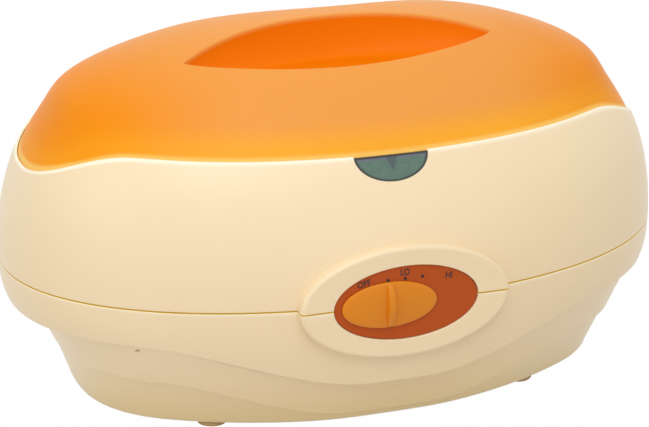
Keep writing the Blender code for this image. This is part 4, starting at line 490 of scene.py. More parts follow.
class Wire:
    """An output socket. Arithmetic on it adds Math nodes."""

    def __init__(self, recipe, socket):
        self.recipe = recipe
        self.socket = socket

    def math(self, operation, *values, clamp=False):
        inputs = dict(enumerate(values))
        return self.recipe.node("ShaderNodeMath", {"operation": operation, "use_clamp": clamp}, inputs)

    def __add__(self, other):
        return self.math("ADD", self, other)

    def __radd__(self, other):
        return self.math("ADD", other, self)

    def __sub__(self, other):
        return self.math("SUBTRACT", self, other)

    def __rsub__(self, other):
        return self.math("SUBTRACT", other, self)

    def __mul__(self, other):
        return self.math("MULTIPLY", self, other)

    def __rmul__(self, other):
        return self.math("MULTIPLY", other, self)

    def __truediv__(self, other):
        return self.math("DIVIDE", self, other)

    def __rtruediv__(self, other):
        return self.math("DIVIDE", other, self)

    def __abs__(self):
        return self.math("ABSOLUTE", self)

    def sine(self):
        return self.math("SINE", self)

    def clamped(self):
        return self.math("ADD", self, 0.0, clamp=True)

    def smooth(self, low, high):
        """0 below low, 1 above high, eased between."""
        return self.recipe.node("ShaderNodeMapRange", {"interpolation_type": "SMOOTHSTEP"},
                                {"Value": self, "From Min": low, "From Max": high})


class Recipe:
    """A material under construction."""

    def __init__(self, name, owner=None):
        self.material = owner or bpy.data.materials.new(name)
        self.material.use_nodes = True
        self.tree = self.material.node_tree
        self.tree.nodes.clear()

    def node(self, kind, settings=None, inputs=None, output=0):
        """Add a node: its settings first, then the values or links of its sockets."""
        made = self.tree.nodes.new(kind)
        for name, value in (settings or {}).items():
            setattr(made, name, value)
        for name, value in (inputs or {}).items():
            socket = made.inputs[name]
            if isinstance(value, Wire):
                self.tree.links.new(value.socket, socket)
            else:
                socket.default_value = value
        return Wire(self, made.outputs[output]) if made.outputs else None

    def place(self):
        """Coordinates in the object's own space, in metres, which move with the piece."""
        return self.node("ShaderNodeTexCoord", output="Object")

    def axis(self, number):
        """One coordinate of that place: 0, 1 or 2 for x, y or z."""
        return self.node("ShaderNodeSeparateXYZ", inputs={0: self.place()}, output=number)

    def seen_directly(self):
        """1 where the camera sees a surface directly, in a mirror or through glass."""
        rays = [self.node("ShaderNodeLightPath", output=name)
                for name in ("Is Camera Ray", "Is Glossy Ray", "Is Transmission Ray")]
        return (rays[0] + rays[1] + rays[2]).clamped()

    def attribute(self, name):
        return self.node("ShaderNodeAttribute", {"attribute_name": name}, output="Fac")

    def noise(self, scale, detail=3.0, roughness=0.5, stretch=(1, 1, 1)):
        spread = self.node("ShaderNodeMapping", inputs={"Vector": self.place(), "Scale": stretch})
        return self.node("ShaderNodeTexNoise", inputs={"Vector": spread, "Scale": scale, "Detail": detail,
                                                       "Roughness": roughness})

    def uneven(self, level, spread, scale, detail=3.0):
        """A level that wanders a little from place to place."""
        return level + (self.noise(scale, detail) - 0.5) * spread

    def mix(self, amount, low, high):
        """Two colours mixed by an amount."""
        low, high = [value if isinstance(value, Wire) else (*value, 1.0) for value in (low, high)]
        inputs = {0: amount, COLOR_A: low, COLOR_B: high}
        return self.node("ShaderNodeMix", {"data_type": "RGBA"}, inputs, COLOR_RESULT)

    def bump(self, height, strength, distance=0.2 * MM):
        return self.node("ShaderNodeBump",
                         inputs={"Strength": strength, "Distance": distance, "Height": height})

    def surface(self, **sockets):
        inputs = {name.replace("_", " "): value for name, value in sockets.items()}
        color = inputs.get("Base Color")
        if color is not None and not isinstance(color, Wire):
            inputs["Base Color"] = (*color, 1.0)
        return self.node("ShaderNodeBsdfPrincipled", inputs=inputs)

    def done(self, shader):
        self.node("ShaderNodeOutputMaterial", inputs={"Surface": shader})
        return self.material


def scaled(color, factor):
    return [min(c * factor, 1.0) for c in color]


def moulded(name, color, roughness, grain=0.05, speck=1400.0, **uniform):
    """Moulded plastic: faint tone drift, fine spark-eroded grain and slightly uneven gloss."""
    recipe = Recipe(name)
    drift = recipe.noise(14.0, 2.0).smooth(0.35, 0.7)
    tone = recipe.mix(drift, color, scaled(color, 0.955))
    gloss = recipe.uneven(roughness, 0.08, 60.0)
    fine = recipe.bump(recipe.noise(speck, 2.0), grain)
    return recipe.done(recipe.surface(Base_Color=tone, Roughness=gloss, Normal=fine, **uniform))


def metal(name, color, roughness, along, lines=220.0, depth=0.12):
    """Drawn or brushed metal with fine lines along one direction."""
    recipe = Recipe(name)
    brushed = recipe.noise(lines, 4.0, 0.6, along)
    tone = recipe.mix(brushed.smooth(0.3, 0.75), scaled(color, 0.86), color)
    gloss = recipe.uneven(roughness + (brushed - 0.5) * 0.14, 0.10, 18.0)
    return recipe.done(recipe.surface(Base_Color=tone, Metallic=1.0, Roughness=gloss,
                                      Normal=recipe.bump(brushed, depth)))


def woven(name, color, pitch):
    """Woven glass felt: crossing threads with loose fibre shading."""
    recipe = Recipe(name)
    waves = 2 * pi / pitch
    across, up = recipe.axis(0) + recipe.axis(1), recipe.axis(2)
    warp, weft = (across * waves).sine(), (up * waves).sine()
    cloth = warp * weft * 0.5 + 0.5
    fibre = recipe.noise(900.0, 4.0)
    tone = recipe.mix((cloth * 0.6 + fibre * 0.4).clamped(), scaled(color, 0.72), color)
    return recipe.done(recipe.surface(Base_Color=tone, Roughness=0.95,
                                      Normal=recipe.bump(cloth + fibre * 0.5, 0.6, 0.6 * MM)))


# Mesh building

def mesh_piece(name, bm):
    bmesh.ops.recalc_face_normals(bm, faces=bm.faces)
    mesh = bpy.data.meshes.new(name)
    bm.to_mesh(mesh)
    bm.free()
    piece = bpy.data.objects.new(name, mesh)
    bpy.context.scene.collection.objects.link(piece)
    smooth(piece)
    return piece


def smooth(piece, angle=radians(30)):
    piece.data.shade_smooth()
    piece.data.set_sharp_from_angle(angle=angle)


def skin(bm, rings, closed=False):
    """Faces over rings of points; closed joins last to first, otherwise both ends are capped."""
    loops = [[bm.verts.new(point) for point in ring] for ring in rings]
    pairs = list(zip(loops, loops[1:]))
    if closed:
        pairs.append((loops[-1], loops[0]))
    for low, high in pairs:
        for k in range(len(low)):
            j = (k + 1) % len(low)
            bm.faces.new((low[k], low[j], high[j], high[k]))
    if not closed:
        bm.faces.new(loops[0])
        bm.faces.new(loops[-1])


def loft(name, rings, closed=False):
    """A piece skinned over rings that are placed from the middle of the body."""
    bm = bmesh.new()
    shift = Vector((0, bpy.context.scene.bath_form.shift, 0))
    skin(bm, [[Vector(p) + shift for p in ring] for ring in rings], closed)
    return mesh_piece(name, bm)


def oval(half_length, half_depth, power, height, steps):
    return [oval_point(half_length, half_depth, power, angle, height) for angle in full_turn(steps)]


def rounded(rings, radii, steps=5, closed=False):
    """The same rings, with the corner at each ring that has a radius turned into a curve."""
    result = []
    most = 0.48     # share of the way to the next ring that a curve may take up
    for number, ring in enumerate(rings):
        radius = radii.get(number, 0)
        if not radius or not closed and number in (0, len(rings) - 1):
            result.append(ring)
            continue
        before, after = rings[number - 1], rings[(number + 1) % len(rings)]
        for step in range(steps + 1):
            t = step / steps
            curve = []
            for corner, a, b in zip(ring, before, after):
                start, stop = [corner + way * min(radius / max(way.length, 1e-9), most)
                               for way in (a - corner, b - corner)]
                curve.append(start * (1 - t) ** 2 + corner * 2 * t * (1 - t) + stop * t * t)
            result.append(curve)
    return result


def block(name, low, high):
    """Cutting block between two corners that are placed from the middle of the body."""
    low, high = Vector(low), Vector(high)
    middle = (high + low) / 2 + Vector((0, bpy.context.scene.bath_form.shift, 0))
    bm = bmesh.new()
    bmesh.ops.create_cube(bm, size=1.0)
    place = Matrix.Translation(middle) @ Matrix.Diagonal((*(high - low), 1))
    bmesh.ops.transform(bm, matrix=place, verts=bm.verts)
    return mesh_piece(name, bm)


def turned(name, profile, centre, direction="Z", steps=64, closed=False):
    """Turn a profile of (radius, distance) about an axis through a centre."""
    rings = []
    for radius, along in profile:
        ring = []
        for angle in full_turn(steps):
            u, v = radius * cos(angle), radius * sin(angle)
            ring.append(Vector(centre) + Vector((u, v, along) if direction == "Z" else (u, along, v)))
        rings.append(ring)
    return loft(name, rings, closed)


def combine(piece, tool, operation="DIFFERENCE"):
    """Boolean with a tool that is then thrown away."""
    cut = piece.modifiers.new("cut", "BOOLEAN")
    cut.operation = operation
    cut.solver = "EXACT"
    cut.object = tool
    graph = bpy.context.evaluated_depsgraph_get()
    made = bpy.data.meshes.new_from_object(piece.evaluated_get(graph))
    if not made.polygons:
        raise RuntimeError(f"{operation} with {tool.name} leaves nothing of {piece.name}")
    piece.modifiers.clear()
    spent = [piece.data, tool.data]
    piece.data = made
    bpy.data.objects.remove(tool)
    for mesh in spent:
        bpy.data.meshes.remove(mesh)
    return piece


def store(piece, name, value_at):
    """Keep a value for every point of a piece, for its material to read."""
    values = piece.data.attributes.new(name, "FLOAT", "POINT")
    for vertex in piece.data.vertices:
        values.data[vertex.index].value = value_at(vertex.co)


def dress(piece, body, slot, *materials, replaces=()):
    """Give a piece its materials and body, and hide the nodes that it stands for. Its slot is not used."""
    mesh = piece.data
    old = [p.material_index for p in mesh.polygons]
    mesh.materials.clear()
    for mat in materials:
        mesh.materials.append(mat)
    mesh.polygons.foreach_set("material_index", [min(k, len(materials) - 1) for k in old])
    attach(piece, body)
    if replaces:
        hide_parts(*replaces)
    return piece


def upright_oval(name, half_length, half_height, front, back, edge=0.0, flare=0.0):
    """Oval slab facing the front, its front edge rounded, or flared out in a tool that breaks an edge."""
    form = bpy.context.scene.bath_form
    profile = [(back, 0.0), (front - edge - flare, 0.0)]
    if edge:
        profile += [(front - edge * (1 - sin(a)), edge * (1 - cos(a))) for a in arc(pi / 2, 8)[1:]]
        profile.append((front, edge + FACE_RING))
    elif flare:
        profile += [(front, -flare), (front + OVERRUN / 2, -flare - FACE_RING)]
    else:
        profile.append((front, 0.0))
    rings = []
    for depth, inset in profile:
        ring = oval(half_length - inset, half_height - inset, 2.0, 0, OVAL_STEPS)
        rings.append([Vector((p.x, -depth, form.parting + p.y)) for p in ring])
    return loft(name, rings)


def fitted(piece):
    """Shade by face size, so that flat faces stay flat next to their rounded edges."""
    smooth(piece)
    shading = piece.modifiers.new("even shading", "WEIGHTED_NORMAL")
    shading.keep_sharp = True
    return piece


# Housings

class BATH_OT_housings(bpy.types.Operator):
    """Build the two cream housings with their rim, boss and stepped skirt"""
    bl_idname = "bath.housings"
    bl_label = "Housings"

    def execute(self, context):
        scene = context.scene
        form, housing = scene.bath_form, scene.bath_housing
        cream = self.cream(housing)
        # Painted shade and painted glow for the parting seam
        seam = moulded("seam_shade", housing.seam, 0.5, Emission_Color=(*housing.seam, 1.0),
                       Emission_Strength=housing.seam_glow)
        self.upper(scene, form, housing, cream)
        self.lower(scene, form, housing, cream, seam)
        return {"FINISHED"}

    def cream(self, housing):
        """Satin plastic: a faint drift, a painted shade that deepens the cream near the table, and a
        painted highlight along the rim and just under the seam.
        """
        recipe = Recipe("cream_plastic")
        drift = recipe.noise(9.0, 2.0).smooth(0.3, 0.75) * 0.25
        # Painted shade near the table
        low = (1 - recipe.axis(2).smooth(0.0, housing.painted_low_shade_height)) * housing.painted_low_shade_share
        # Painted highlight along the rim and under the seam
        edge = recipe.attribute("painted_highlight").smooth(0.05, 0.75)
        tone = recipe.mix(drift, housing.cream, housing.cream_deep)
        tone = recipe.mix(low, tone, housing.painted_low_shade)
        tone = recipe.mix(edge, tone, housing.rim_light)
        return recipe.done(recipe.surface(Base_Color=tone, Roughness=recipe.uneven(0.34, 0.06, 70.0),
                                          Normal=recipe.bump(recipe.noise(1500.0, 2.0), 0.03)))

    def upper(self, scene, form, housing, cream):
        """Domed shell with the wavy rim, the seats of lid and tank, and the upper half of the boss."""
        bath, gap, rows, rows_inside = scene.bath_tub, form.fit_gap, DOME_ROWS, 8
        bottom = form.parting + form.seam_gap / 2
        seat_inset = housing.rim_width + housing.shoulder_width

        def part_way(amount, depth):
            return lambda angle: blend(bottom, form.rim_height(angle) - depth, amount)

        # Outside from the seam to the rim, over the rim, and in to the free edge of the lid's seat
        rings = [form.dome_ring(part_way(k / rows, 0.0), 0.0) for k in range(rows + 1)]
        rings += [form.dome_ring(form.below_rim(depth), inset)
                  for depth, inset in ((0, housing.rim_width),
                                       (housing.shoulder_depth, housing.rim_width),
                                       (housing.shoulder_depth, seat_inset))]
        radii = {0: housing.seam_round, rows: housing.rim_round, rows + 1: housing.rim_round_inside,
                 rows + 2: housing.shoulder_corner, rows + 3: housing.shoulder_round,
                 rows + 4: housing.well_round}
        # The well for the flange, its seat, and the seat's underside
        well = (bath.half_length + bath.flange_width + gap, bath.half_depth + bath.flange_width + gap)
        mouth = (bath.half_length + 2 * gap, bath.half_depth + 2 * gap)
        flange_top = housing.seat_height + bath.seal_thickness + 3 * gap + bath.wall
        seat, under = housing.seat_height, housing.seat_height - housing.seat_thickness
        rings += [oval(*reach, bath.power, height, form.around)
                  for reach, height in ((well, flange_top), (well, seat), (mouth, seat), (mouth, under),
                                        ([v + form.wall for v in well], under))]
        # The inside of the wall, back down to the seam
        depth = housing.shoulder_depth + 2 * form.wall
        rings += [form.dome_ring(form.below_rim(depth), inset) for inset in (seat_inset, form.wall)]
        rings += [form.dome_ring(part_way(k / rows_inside, depth), form.wall)
                  for k in reversed(range(rows_inside))]
        shell = loft("upper_shell", rounded(rings, radii, closed=True), closed=True)

        boss = self.boss("upper_boss", form, housing)
        reach, front = housing.boss_half_length + OVERRUN, form.half_depth + housing.boss_proud + OVERRUN
        combine(boss, block("below", (-reach, -front, 0), (reach, 0, bottom)))
        combine(shell, boss, "UNION")
        self.cut_plate_seat(shell, form, housing, scene.bath_control)
        cut_window(shell, form, housing, scene.bath_window, bath)
        # Painted highlight along the rim
        store(shell, "painted_highlight",
              lambda point: max(1 - abs(form.above_rim(point)) / housing.rim_light_depth, 0.0))
        dress(fitted(shell), "root", "cream_plastic", cream, replaces=["upper_housing"])

    def boss(self, name, form, housing):
        return upright_oval(name, housing.boss_half_length, housing.boss_half_height,
                            form.half_depth + housing.boss_proud, form.half_depth - housing.boss_back,
                            edge=housing.boss_round)

    def cut_plate_seat(self, shell, form, housing, control):
        """Pocket for the plate, and the opening behind it."""
        face = form.half_depth + housing.boss_proud
        back = face - control.plate_sink - control.plate_thickness - form.fit_gap
        combine(shell, upright_oval("plate_pocket", control.plate_half_length + form.fit_gap,
                                    control.plate_half_height + form.fit_gap, face, back,
                                    flare=housing.pocket_flare))
        combine(shell, upright_oval("boss_opening", control.plate_half_length - control.plate_seat,
                                    control.plate_half_height - control.plate_seat, face,
                                    form.half_depth - housing.boss_back - 2 * OVERRUN))

    def lower(self, scene, form, housing, cream, seam):
        """Stepped shell with its floor, lip, screw tubes and the lower half of the boss."""
        skirt, wall = scene.bath_skirt, form.wall
        top = form.parting - form.seam_gap / 2
        floor = skirt.base + wall
        outer, corners = skirt.rings(form, 0.0, 0.0, top, skirt.base + skirt.base_round, SKIRT_ROWS)
        last = outer[-1]
        half_length, half_depth = max(p.x for p in last), max(p.y for p in last)
        for angle in arc(pi / 2, 6)[1:]:
            inset = skirt.base_run * (1 - cos(angle))
            height = skirt.base + skirt.base_round * (1 - sin(angle))
            outer.append([Vector((p.x * (1 - inset / half_length), p.y * (1 - inset / half_depth), height))
                          for p in last])

        lip_out, lip_top = wall + form.fit_gap, top + housing.lip_height
        lip_in = lip_out + housing.lip_thickness
        lip = [form.dome_ring(lambda angle: height, inset)
               for height, inset in ((top, lip_out), (lip_top, lip_out), (lip_top, lip_in),
                                     (top - housing.lip_thickness, lip_in))]
        inner, _ = skirt.rings(form, wall, wall, top - housing.lip_height, floor + skirt.base_round,
                               SKIRT_ROWS_INSIDE)
        floor_length, floor_depth = 0.97, 0.95     # shares of the last ring where the floor is flat
        inner.append([Vector((p.x * floor_length, p.y * floor_depth, floor)) for p in inner[-1]])
        radii = {number + 1: skirt.ledge_round for number in corners}
        radii[1] = housing.lower_round
        face = rounded([lip[0]] + outer, radii)
        shell = loft("lower_shell", face[:0:-1] + lip + inner)

        combine(shell, self.boss("lower_boss", form, housing), "UNION")
        reach = housing.boss_half_length + form.fit_gap
        front = form.half_depth + housing.boss_proud + OVERRUN
        back = form.half_depth - housing.boss_back - OVERRUN
        combine(shell, block("above", (-reach, -front, top),
                             (reach, -back, form.parting + housing.boss_half_height + OVERRUN)))
        tubes = self.cylinders("tubes", form, skirt, skirt.tube_radius, floor, top)
        combine(tubes, loft("skirt_solid", outer[::-1]), "INTERSECT")
        combine(shell, tubes, "UNION")
        combine(shell, self.cylinders("tunnels", form, skirt, skirt.tunnel_radius, 0, skirt.tunnel_top))
        combine(shell, self.notches(form, skirt))
        self.cut_plate_seat(shell, form, housing, scene.bath_control)
        self.cut_gland(shell, form, scene.bath_tub)
        # The lower shell's top face, seen down the seam, takes the painted shade and glow
        for polygon in shell.data.polygons:
            polygon.material_index = int(polygon.center.z > top - 0.01 * MM)
        # Painted highlight, fainter, just under the seam
        store(shell, "painted_highlight",
              lambda point: housing.seam_light * max(1 - (top - point.z) / housing.rim_light_depth, 0.0))
        dress(fitted(shell), "root", "cream_plastic", cream, seam, replaces=["lower_housing"])
        self.covers(form, skirt, top, cream)

    def covers(self, form, skirt, top, cream):
        """Covers over the mouths of the screw tunnels, trimmed to the skirt's face."""
        covers = self.cylinders("screw_covers", form, skirt, skirt.tunnel_radius - skirt.cover_gap,
                                skirt.base, skirt.cover_top)
        face, _ = skirt.rings(form, skirt.cover_sink, 0.0, top, skirt.base + skirt.base_round, SKIRT_ROWS)
        face.append([p - Vector((0, 0, skirt.base_round - skirt.cover_sink)) for p in face[-1]])
        combine(covers, loft("cover_trim", face[::-1]), "INTERSECT")
        dress(fitted(covers), "root", "cream_plastic", cream)

    def cylinders(self, name, form, skirt, radius, low, high):
        """Four upright cylinders where the housing screws stand."""
        bm = bmesh.new()
        for _, sx, sy in CORNERS:
            middle = (sx * skirt.tunnel_x, sy * skirt.tunnel_y + form.shift, (low + high) / 2)
            bmesh.ops.create_cone(bm, cap_ends=True, segments=40, radius1=radius, radius2=radius,
                                  depth=high - low, matrix=Matrix.Translation(middle))
        return mesh_piece(name, bm)

    def notches(self, form, skirt):
        """Two small three-cornered dents under the upper ledge, front left and back right."""
        bm = bmesh.new()
        middle = Vector((skirt.notch_x, skirt.notch_y, skirt.notch_height))
        outward = Vector((skirt.notch_x, skirt.notch_y, 0)).normalized()
        along = Vector((-outward.y, outward.x, 0))
        outside, narrowing = 1.5 * MM, 0.6
        for side in (-1, 1):
            rings = []
            for depth, size in ((outside, skirt.notch_size),
                                (-skirt.notch_depth, narrowing * skirt.notch_size)):
                points = [middle + outward * depth + (along * across - Vector((0, 0, down))) * size
                          for across, down in NOTCH_CORNERS]
                rings.append([(side * p.x, side * p.y + form.shift, p.z) for p in points])
            skin(bm, rings)
        return mesh_piece("notches", bm)

    def cut_gland(self, shell, form, bath):
        """Boss inside the rear wall with the pocket and the hole of the cord gland."""
        seat, wide = form.half_depth - bath.gland_depth, bath.gland_radius + form.fit_gap
        hole = bath.gland_body + form.fit_gap
        for name, radius, start, stop, operation in (
                ("gland_boss", bath.gland_boss, seat - bath.gland_boss_depth, seat, "UNION"),
                ("gland_pocket", wide, seat, form.half_depth, "DIFFERENCE"),
                ("gland_hole", hole, seat - 2 * bath.gland_boss_depth, seat + OVERRUN, "DIFFERENCE")):
            tool = turned(name, [(radius, start), (radius, stop)], (0, 0, bath.gland_height), "Y")
            combine(shell, tool, operation)


# Indicator window

def half_moon(name, half_width, drop, top, front, back):
    """Upright half-moon slab with its straight edge on top."""
    return loft(name, [[Vector((half_width * cos(a), -depth, top - drop * sin(a))) for a in arc(pi, 72)]
                       for depth in (back, front)])


def skin_band(name, form, window, inset_out, inset_in):
    """Thin shell that follows the dome over the height of the window."""
    top = form.rim - window.top_sink
    rows = 12
    heights = [blend(top - window.drop - OVERRUN, top + OVERRUN / 2, k / rows) for k in range(rows + 1)]
    rings = [form.dome_ring(lambda angle: h, inset_out) for h in heights]
    rings += [form.dome_ring(lambda angle: h, inset_in) for h in reversed(heights)]
    return loft(name, rings, closed=True)


def cut_window(shell, form, housing, window, bath):
    """Pocket for the lens, open at the rim."""
    gap = form.fit_gap
    top = form.rim - window.top_sink
    reach = window.half_width + gap
    pocket = half_moon("window_pocket", reach, window.drop + gap, top, form.half_depth, bath.half_depth)
    combine(pocket, skin_band("window_band", form, window, -OVERRUN, window.pocket), "INTERSECT")
    combine(shell, pocket)
    back = -form.axes(form.rim)[1] + housing.rim_width + gap / 2
    combine(shell, block("window_notch", (-reach, -form.half_depth, top - gap),
                         (reach, back, form.rim + OVERRUN)))


class BATH_OT_window(bpy.types.Operator):
    """Build the half-moon lens of the indicator window"""
    bl_idname = "bath.window"
    bl_label = "Indicator window"

    def execute(self, context):
        scene = context.scene
        form, window = scene.bath_form, scene.bath_window
        top = form.rim - window.top_sink
        lens = half_moon("window_lens", window.half_width, window.drop, top - form.fit_gap,
                         form.half_depth, scene.bath_tub.half_depth)
        combine(lens, skin_band("lens_band", form, window, form.fit_gap, window.thickness), "INTERSECT")
        dress(fitted(lens), "root", "lens_plastic", self.glass(window, top), replaces=["indicator_lens"])
        return {"FINISHED"}

    def glass(self, window, top):
        """Smoked plastic with a bluish upper band, a dark triangle in the middle and a dark outline."""
        recipe = Recipe("lens_plastic")
        # 0 at the straight edge and 1 at the lowest point; 0 in the middle and 1 at either end
        down = (top - recipe.axis(2)) / window.drop
        side = abs(recipe.axis(0)) / window.half_width
        cloud = recipe.noise(320.0).smooth(0.3, 0.7)
        band = 1 - down.smooth(0.10, 0.24)
        wedge = (side * 3.4 + down).smooth(0.75, 0.5) * 0.95
        reach = side * side + down * down
        border = reach.math("MAXIMUM", reach.smooth(0.84, 0.94) * 0.8, 1 - down.smooth(0.06, 0.12))
        color = recipe.mix(cloud, window.smoke, scaled(window.smoke, 0.84))
        for amount, tone in ((band, window.band), (wedge, window.shade), (border, window.outline)):
            color = recipe.mix(amount, color, tone)
        return recipe.done(recipe.surface(Base_Color=color, Roughness=0.16, Coat_Weight=0.6,
                                          Coat_Roughness=0.05,
                                          Normal=recipe.bump(recipe.noise(500.0), 0.02)))


# Lid

def leaf(half_length, tip_y, near_y, far_y, bend, steps, x):
    """Leaf outline in plan: two arcs that meet at the tips, the near one blunter."""
    points = []
    for edge_y, sign, power in ((near_y, 1, bend), (far_y, -1, 1.0)):
        for k in range(steps):
            place = sin(pi / 2 * (-1 + 2 * k / steps))
            reach = (edge_y - tip_y) * (1 - place * place) ** power
            points.append(Vector((x + sign * place * half_length, -tip_y - reach)))
    return points


class BATH_OT_lid(bpy.types.Operator):
    """Build the translucent lid with its two finger scoops"""
    bl_idname = "bath.lid"
    bl_label = "Lid"

    def execute(self, context):
        scene = context.scene
        form, lid, housing = scene.bath_form, scene.bath_lid, scene.bath_housing
        inset = housing.rim_width + lid.gap
        low = form.below_rim(housing.shoulder_depth - form.fit_gap)
        shell = loft("lid_shell", self.rings(form, inset, 0.0, low, 44))
        inner = self.rings(form, inset + lid.wall, lid.wall, low, 24)
        under = [p - Vector((0, 0, OVERRUN)) for p in inner[0]]
        hollow = loft("lid_hollow", [under] + inner)
        for piece, outside in ((shell, True), (hollow, False)):
            for side in (1, -1):
                combine(piece, self.scoop(form, lid, side, inset, outside))
        combine(shell, hollow)
        self.mark(shell, form, inset)
        dress(fitted(shell), "lid", "lid_plastic", self.translucent(lid), replaces=["lid"])
        return {"FINISHED"}

    def rings(self, form, inset, drop, low, steps):
        """Rings from the wavy edge to the crown, closer together towards the crown."""
        rings, gathering = [], 1.7
        for k in range(steps):
            rise = 1 - (1 - k / steps) ** gathering
            ring = form.dome_ring(lambda angle: blend(low(angle), form.top - drop, rise) + drop, inset)
            rings.append([p - Vector((0, 0, drop)) for p in ring])
        return rings

    def scoop(self, form, lid, side, inset, outside):
        """Leaf-shaped tool. Its lip follows the dome and flares to round the scoop's edge."""
        swell = 0.0 if outside else lid.wall
        middle = (lid.scoop_near + lid.scoop_far) / 2
        steps, levels = (60, 12) if outside else (30, 6)

        def outline(amount, grow):
            bulge = blend(lid.scoop_floor, 1, (1 - (1 - amount) ** 2) ** 0.5)
            tip, near, far = [blend(middle, y, bulge)
                              for y in (lid.scoop_tip, lid.scoop_near, lid.scoop_far)]
            return leaf(lid.scoop_half_length * bulge + 2 * grow, tip, near + grow, far - grow,
                        lid.scoop_bend, steps, -lid.scoop_offset)

        floor = form.top - lid.scoop_depth
        roof = [form.dome_height(p.x, p.y, inset) - lid.scoop_round for p in outline(1, 0.0)]
        rings, gathering = [], 1.5
        for level in range(levels + 1):
            amount = (level / levels) ** gathering
            rings.append([Vector((p.x, p.y, blend(floor, high, amount) - swell))
                          for p, high in zip(outline(amount, swell), roof)])
        if outside:
            rings += self.lip(form, lid, inset, rings[-1], outline)
        else:
            rings.append([Vector((p.x, p.y, form.top + OVERRUN)) for p in rings[-1]])
        if side < 0:
            rings = [[Vector((-p.x, -p.y, p.z)) for p in ring] for ring in rings]
        return loft("scoop", rings)

    def lip(self, form, lid, inset, edge, outline):
        """Rings that flare out from the scoop's edge on to the dome, then stand clear of it."""
        outward = [(wide - narrow).normalized()
                   for wide, narrow in zip(outline(1, lid.scoop_round / 2), outline(1, 0.0))]
        made = []
        steps, clear = 5, 0.03 * MM
        for step in range(1, steps + 1):
            angle = lid.scoop_turn * step / steps
            grow = lid.scoop_round * (1 - cos(angle))
            sink = lid.scoop_round * (1 - sin(angle)) - (clear if step == steps else 0)
            ring = []
            for point, way in zip(edge, outward):
                x, y = point.x + way.x * grow, point.y + way.y * grow
                ring.append(Vector((x, y, form.dome_height(x, y, inset) - sink)))
            made.append(ring)
        made.append([p + Vector((0, 0, 1.5 * OVERRUN)) for p in made[-1]])
        return made

    def mark(self, shell, form, inset):
        """Store how far above the rim each point lies and how deep inside a scoop."""
        scoops_from = form.rim + 15 * MM

        def depth(point):
            if point.z <= scoops_from:
                return 0.0
            return max(form.dome_height(point.x, point.y - form.shift, inset) - point.z, 0.0)

        # These heights and depths steer the painted light of the lid's material.
        store(shell, "above_rim", form.above_rim)
        store(shell, "scoop_depth", depth)

    def translucent(self, lid):
        """Milky orange plastic with painted light: a yellower glow just above the rim, a painted highlight
        along the edge, and deeper orange at the ends and inside the scoops for the light that passes
        through and bounces in the plastic.
        """
        recipe = Recipe("lid_plastic")
        above = recipe.attribute("above_rim")
        cloud = recipe.noise(7.0, 2.0).smooth(0.3, 0.75) * 0.35
        # Painted light at the ends, above the rim, along the edge and in the scoops
        ends = abs(recipe.axis(0)).smooth(0.060, 0.150) * (1 - above.smooth(0.012, 0.065))
        edge = (1 - above.smooth(0.002, 0.018)) * (1 - ends * 0.5) * 0.8
        lip = 1 - above.smooth(0.0002, 0.0024)
        scoop = recipe.attribute("scoop_depth").smooth(0.0006, 0.0030)
        color = recipe.mix(cloud, lid.orange, scaled(lid.orange, 0.95))
        for amount, tone in ((ends, lid.end_glow), (edge, lid.edge_glow), (lip, lid.lip_glow),
                             (scoop, lid.scoop_glow)):
            color = recipe.mix(amount, color, tone)
        return recipe.done(recipe.surface(Base_Color=color, Roughness=recipe.uneven(0.36, 0.06, 50.0),
                                          Subsurface_Weight=0.12, Subsurface_Radius=(1.0, 0.35, 0.08),
                                          Subsurface_Scale=4 * MM, Specular_IOR_Level=0.06,
                                          Normal=recipe.bump(recipe.noise(1100.0, 2.0), 0.03)))


# Control

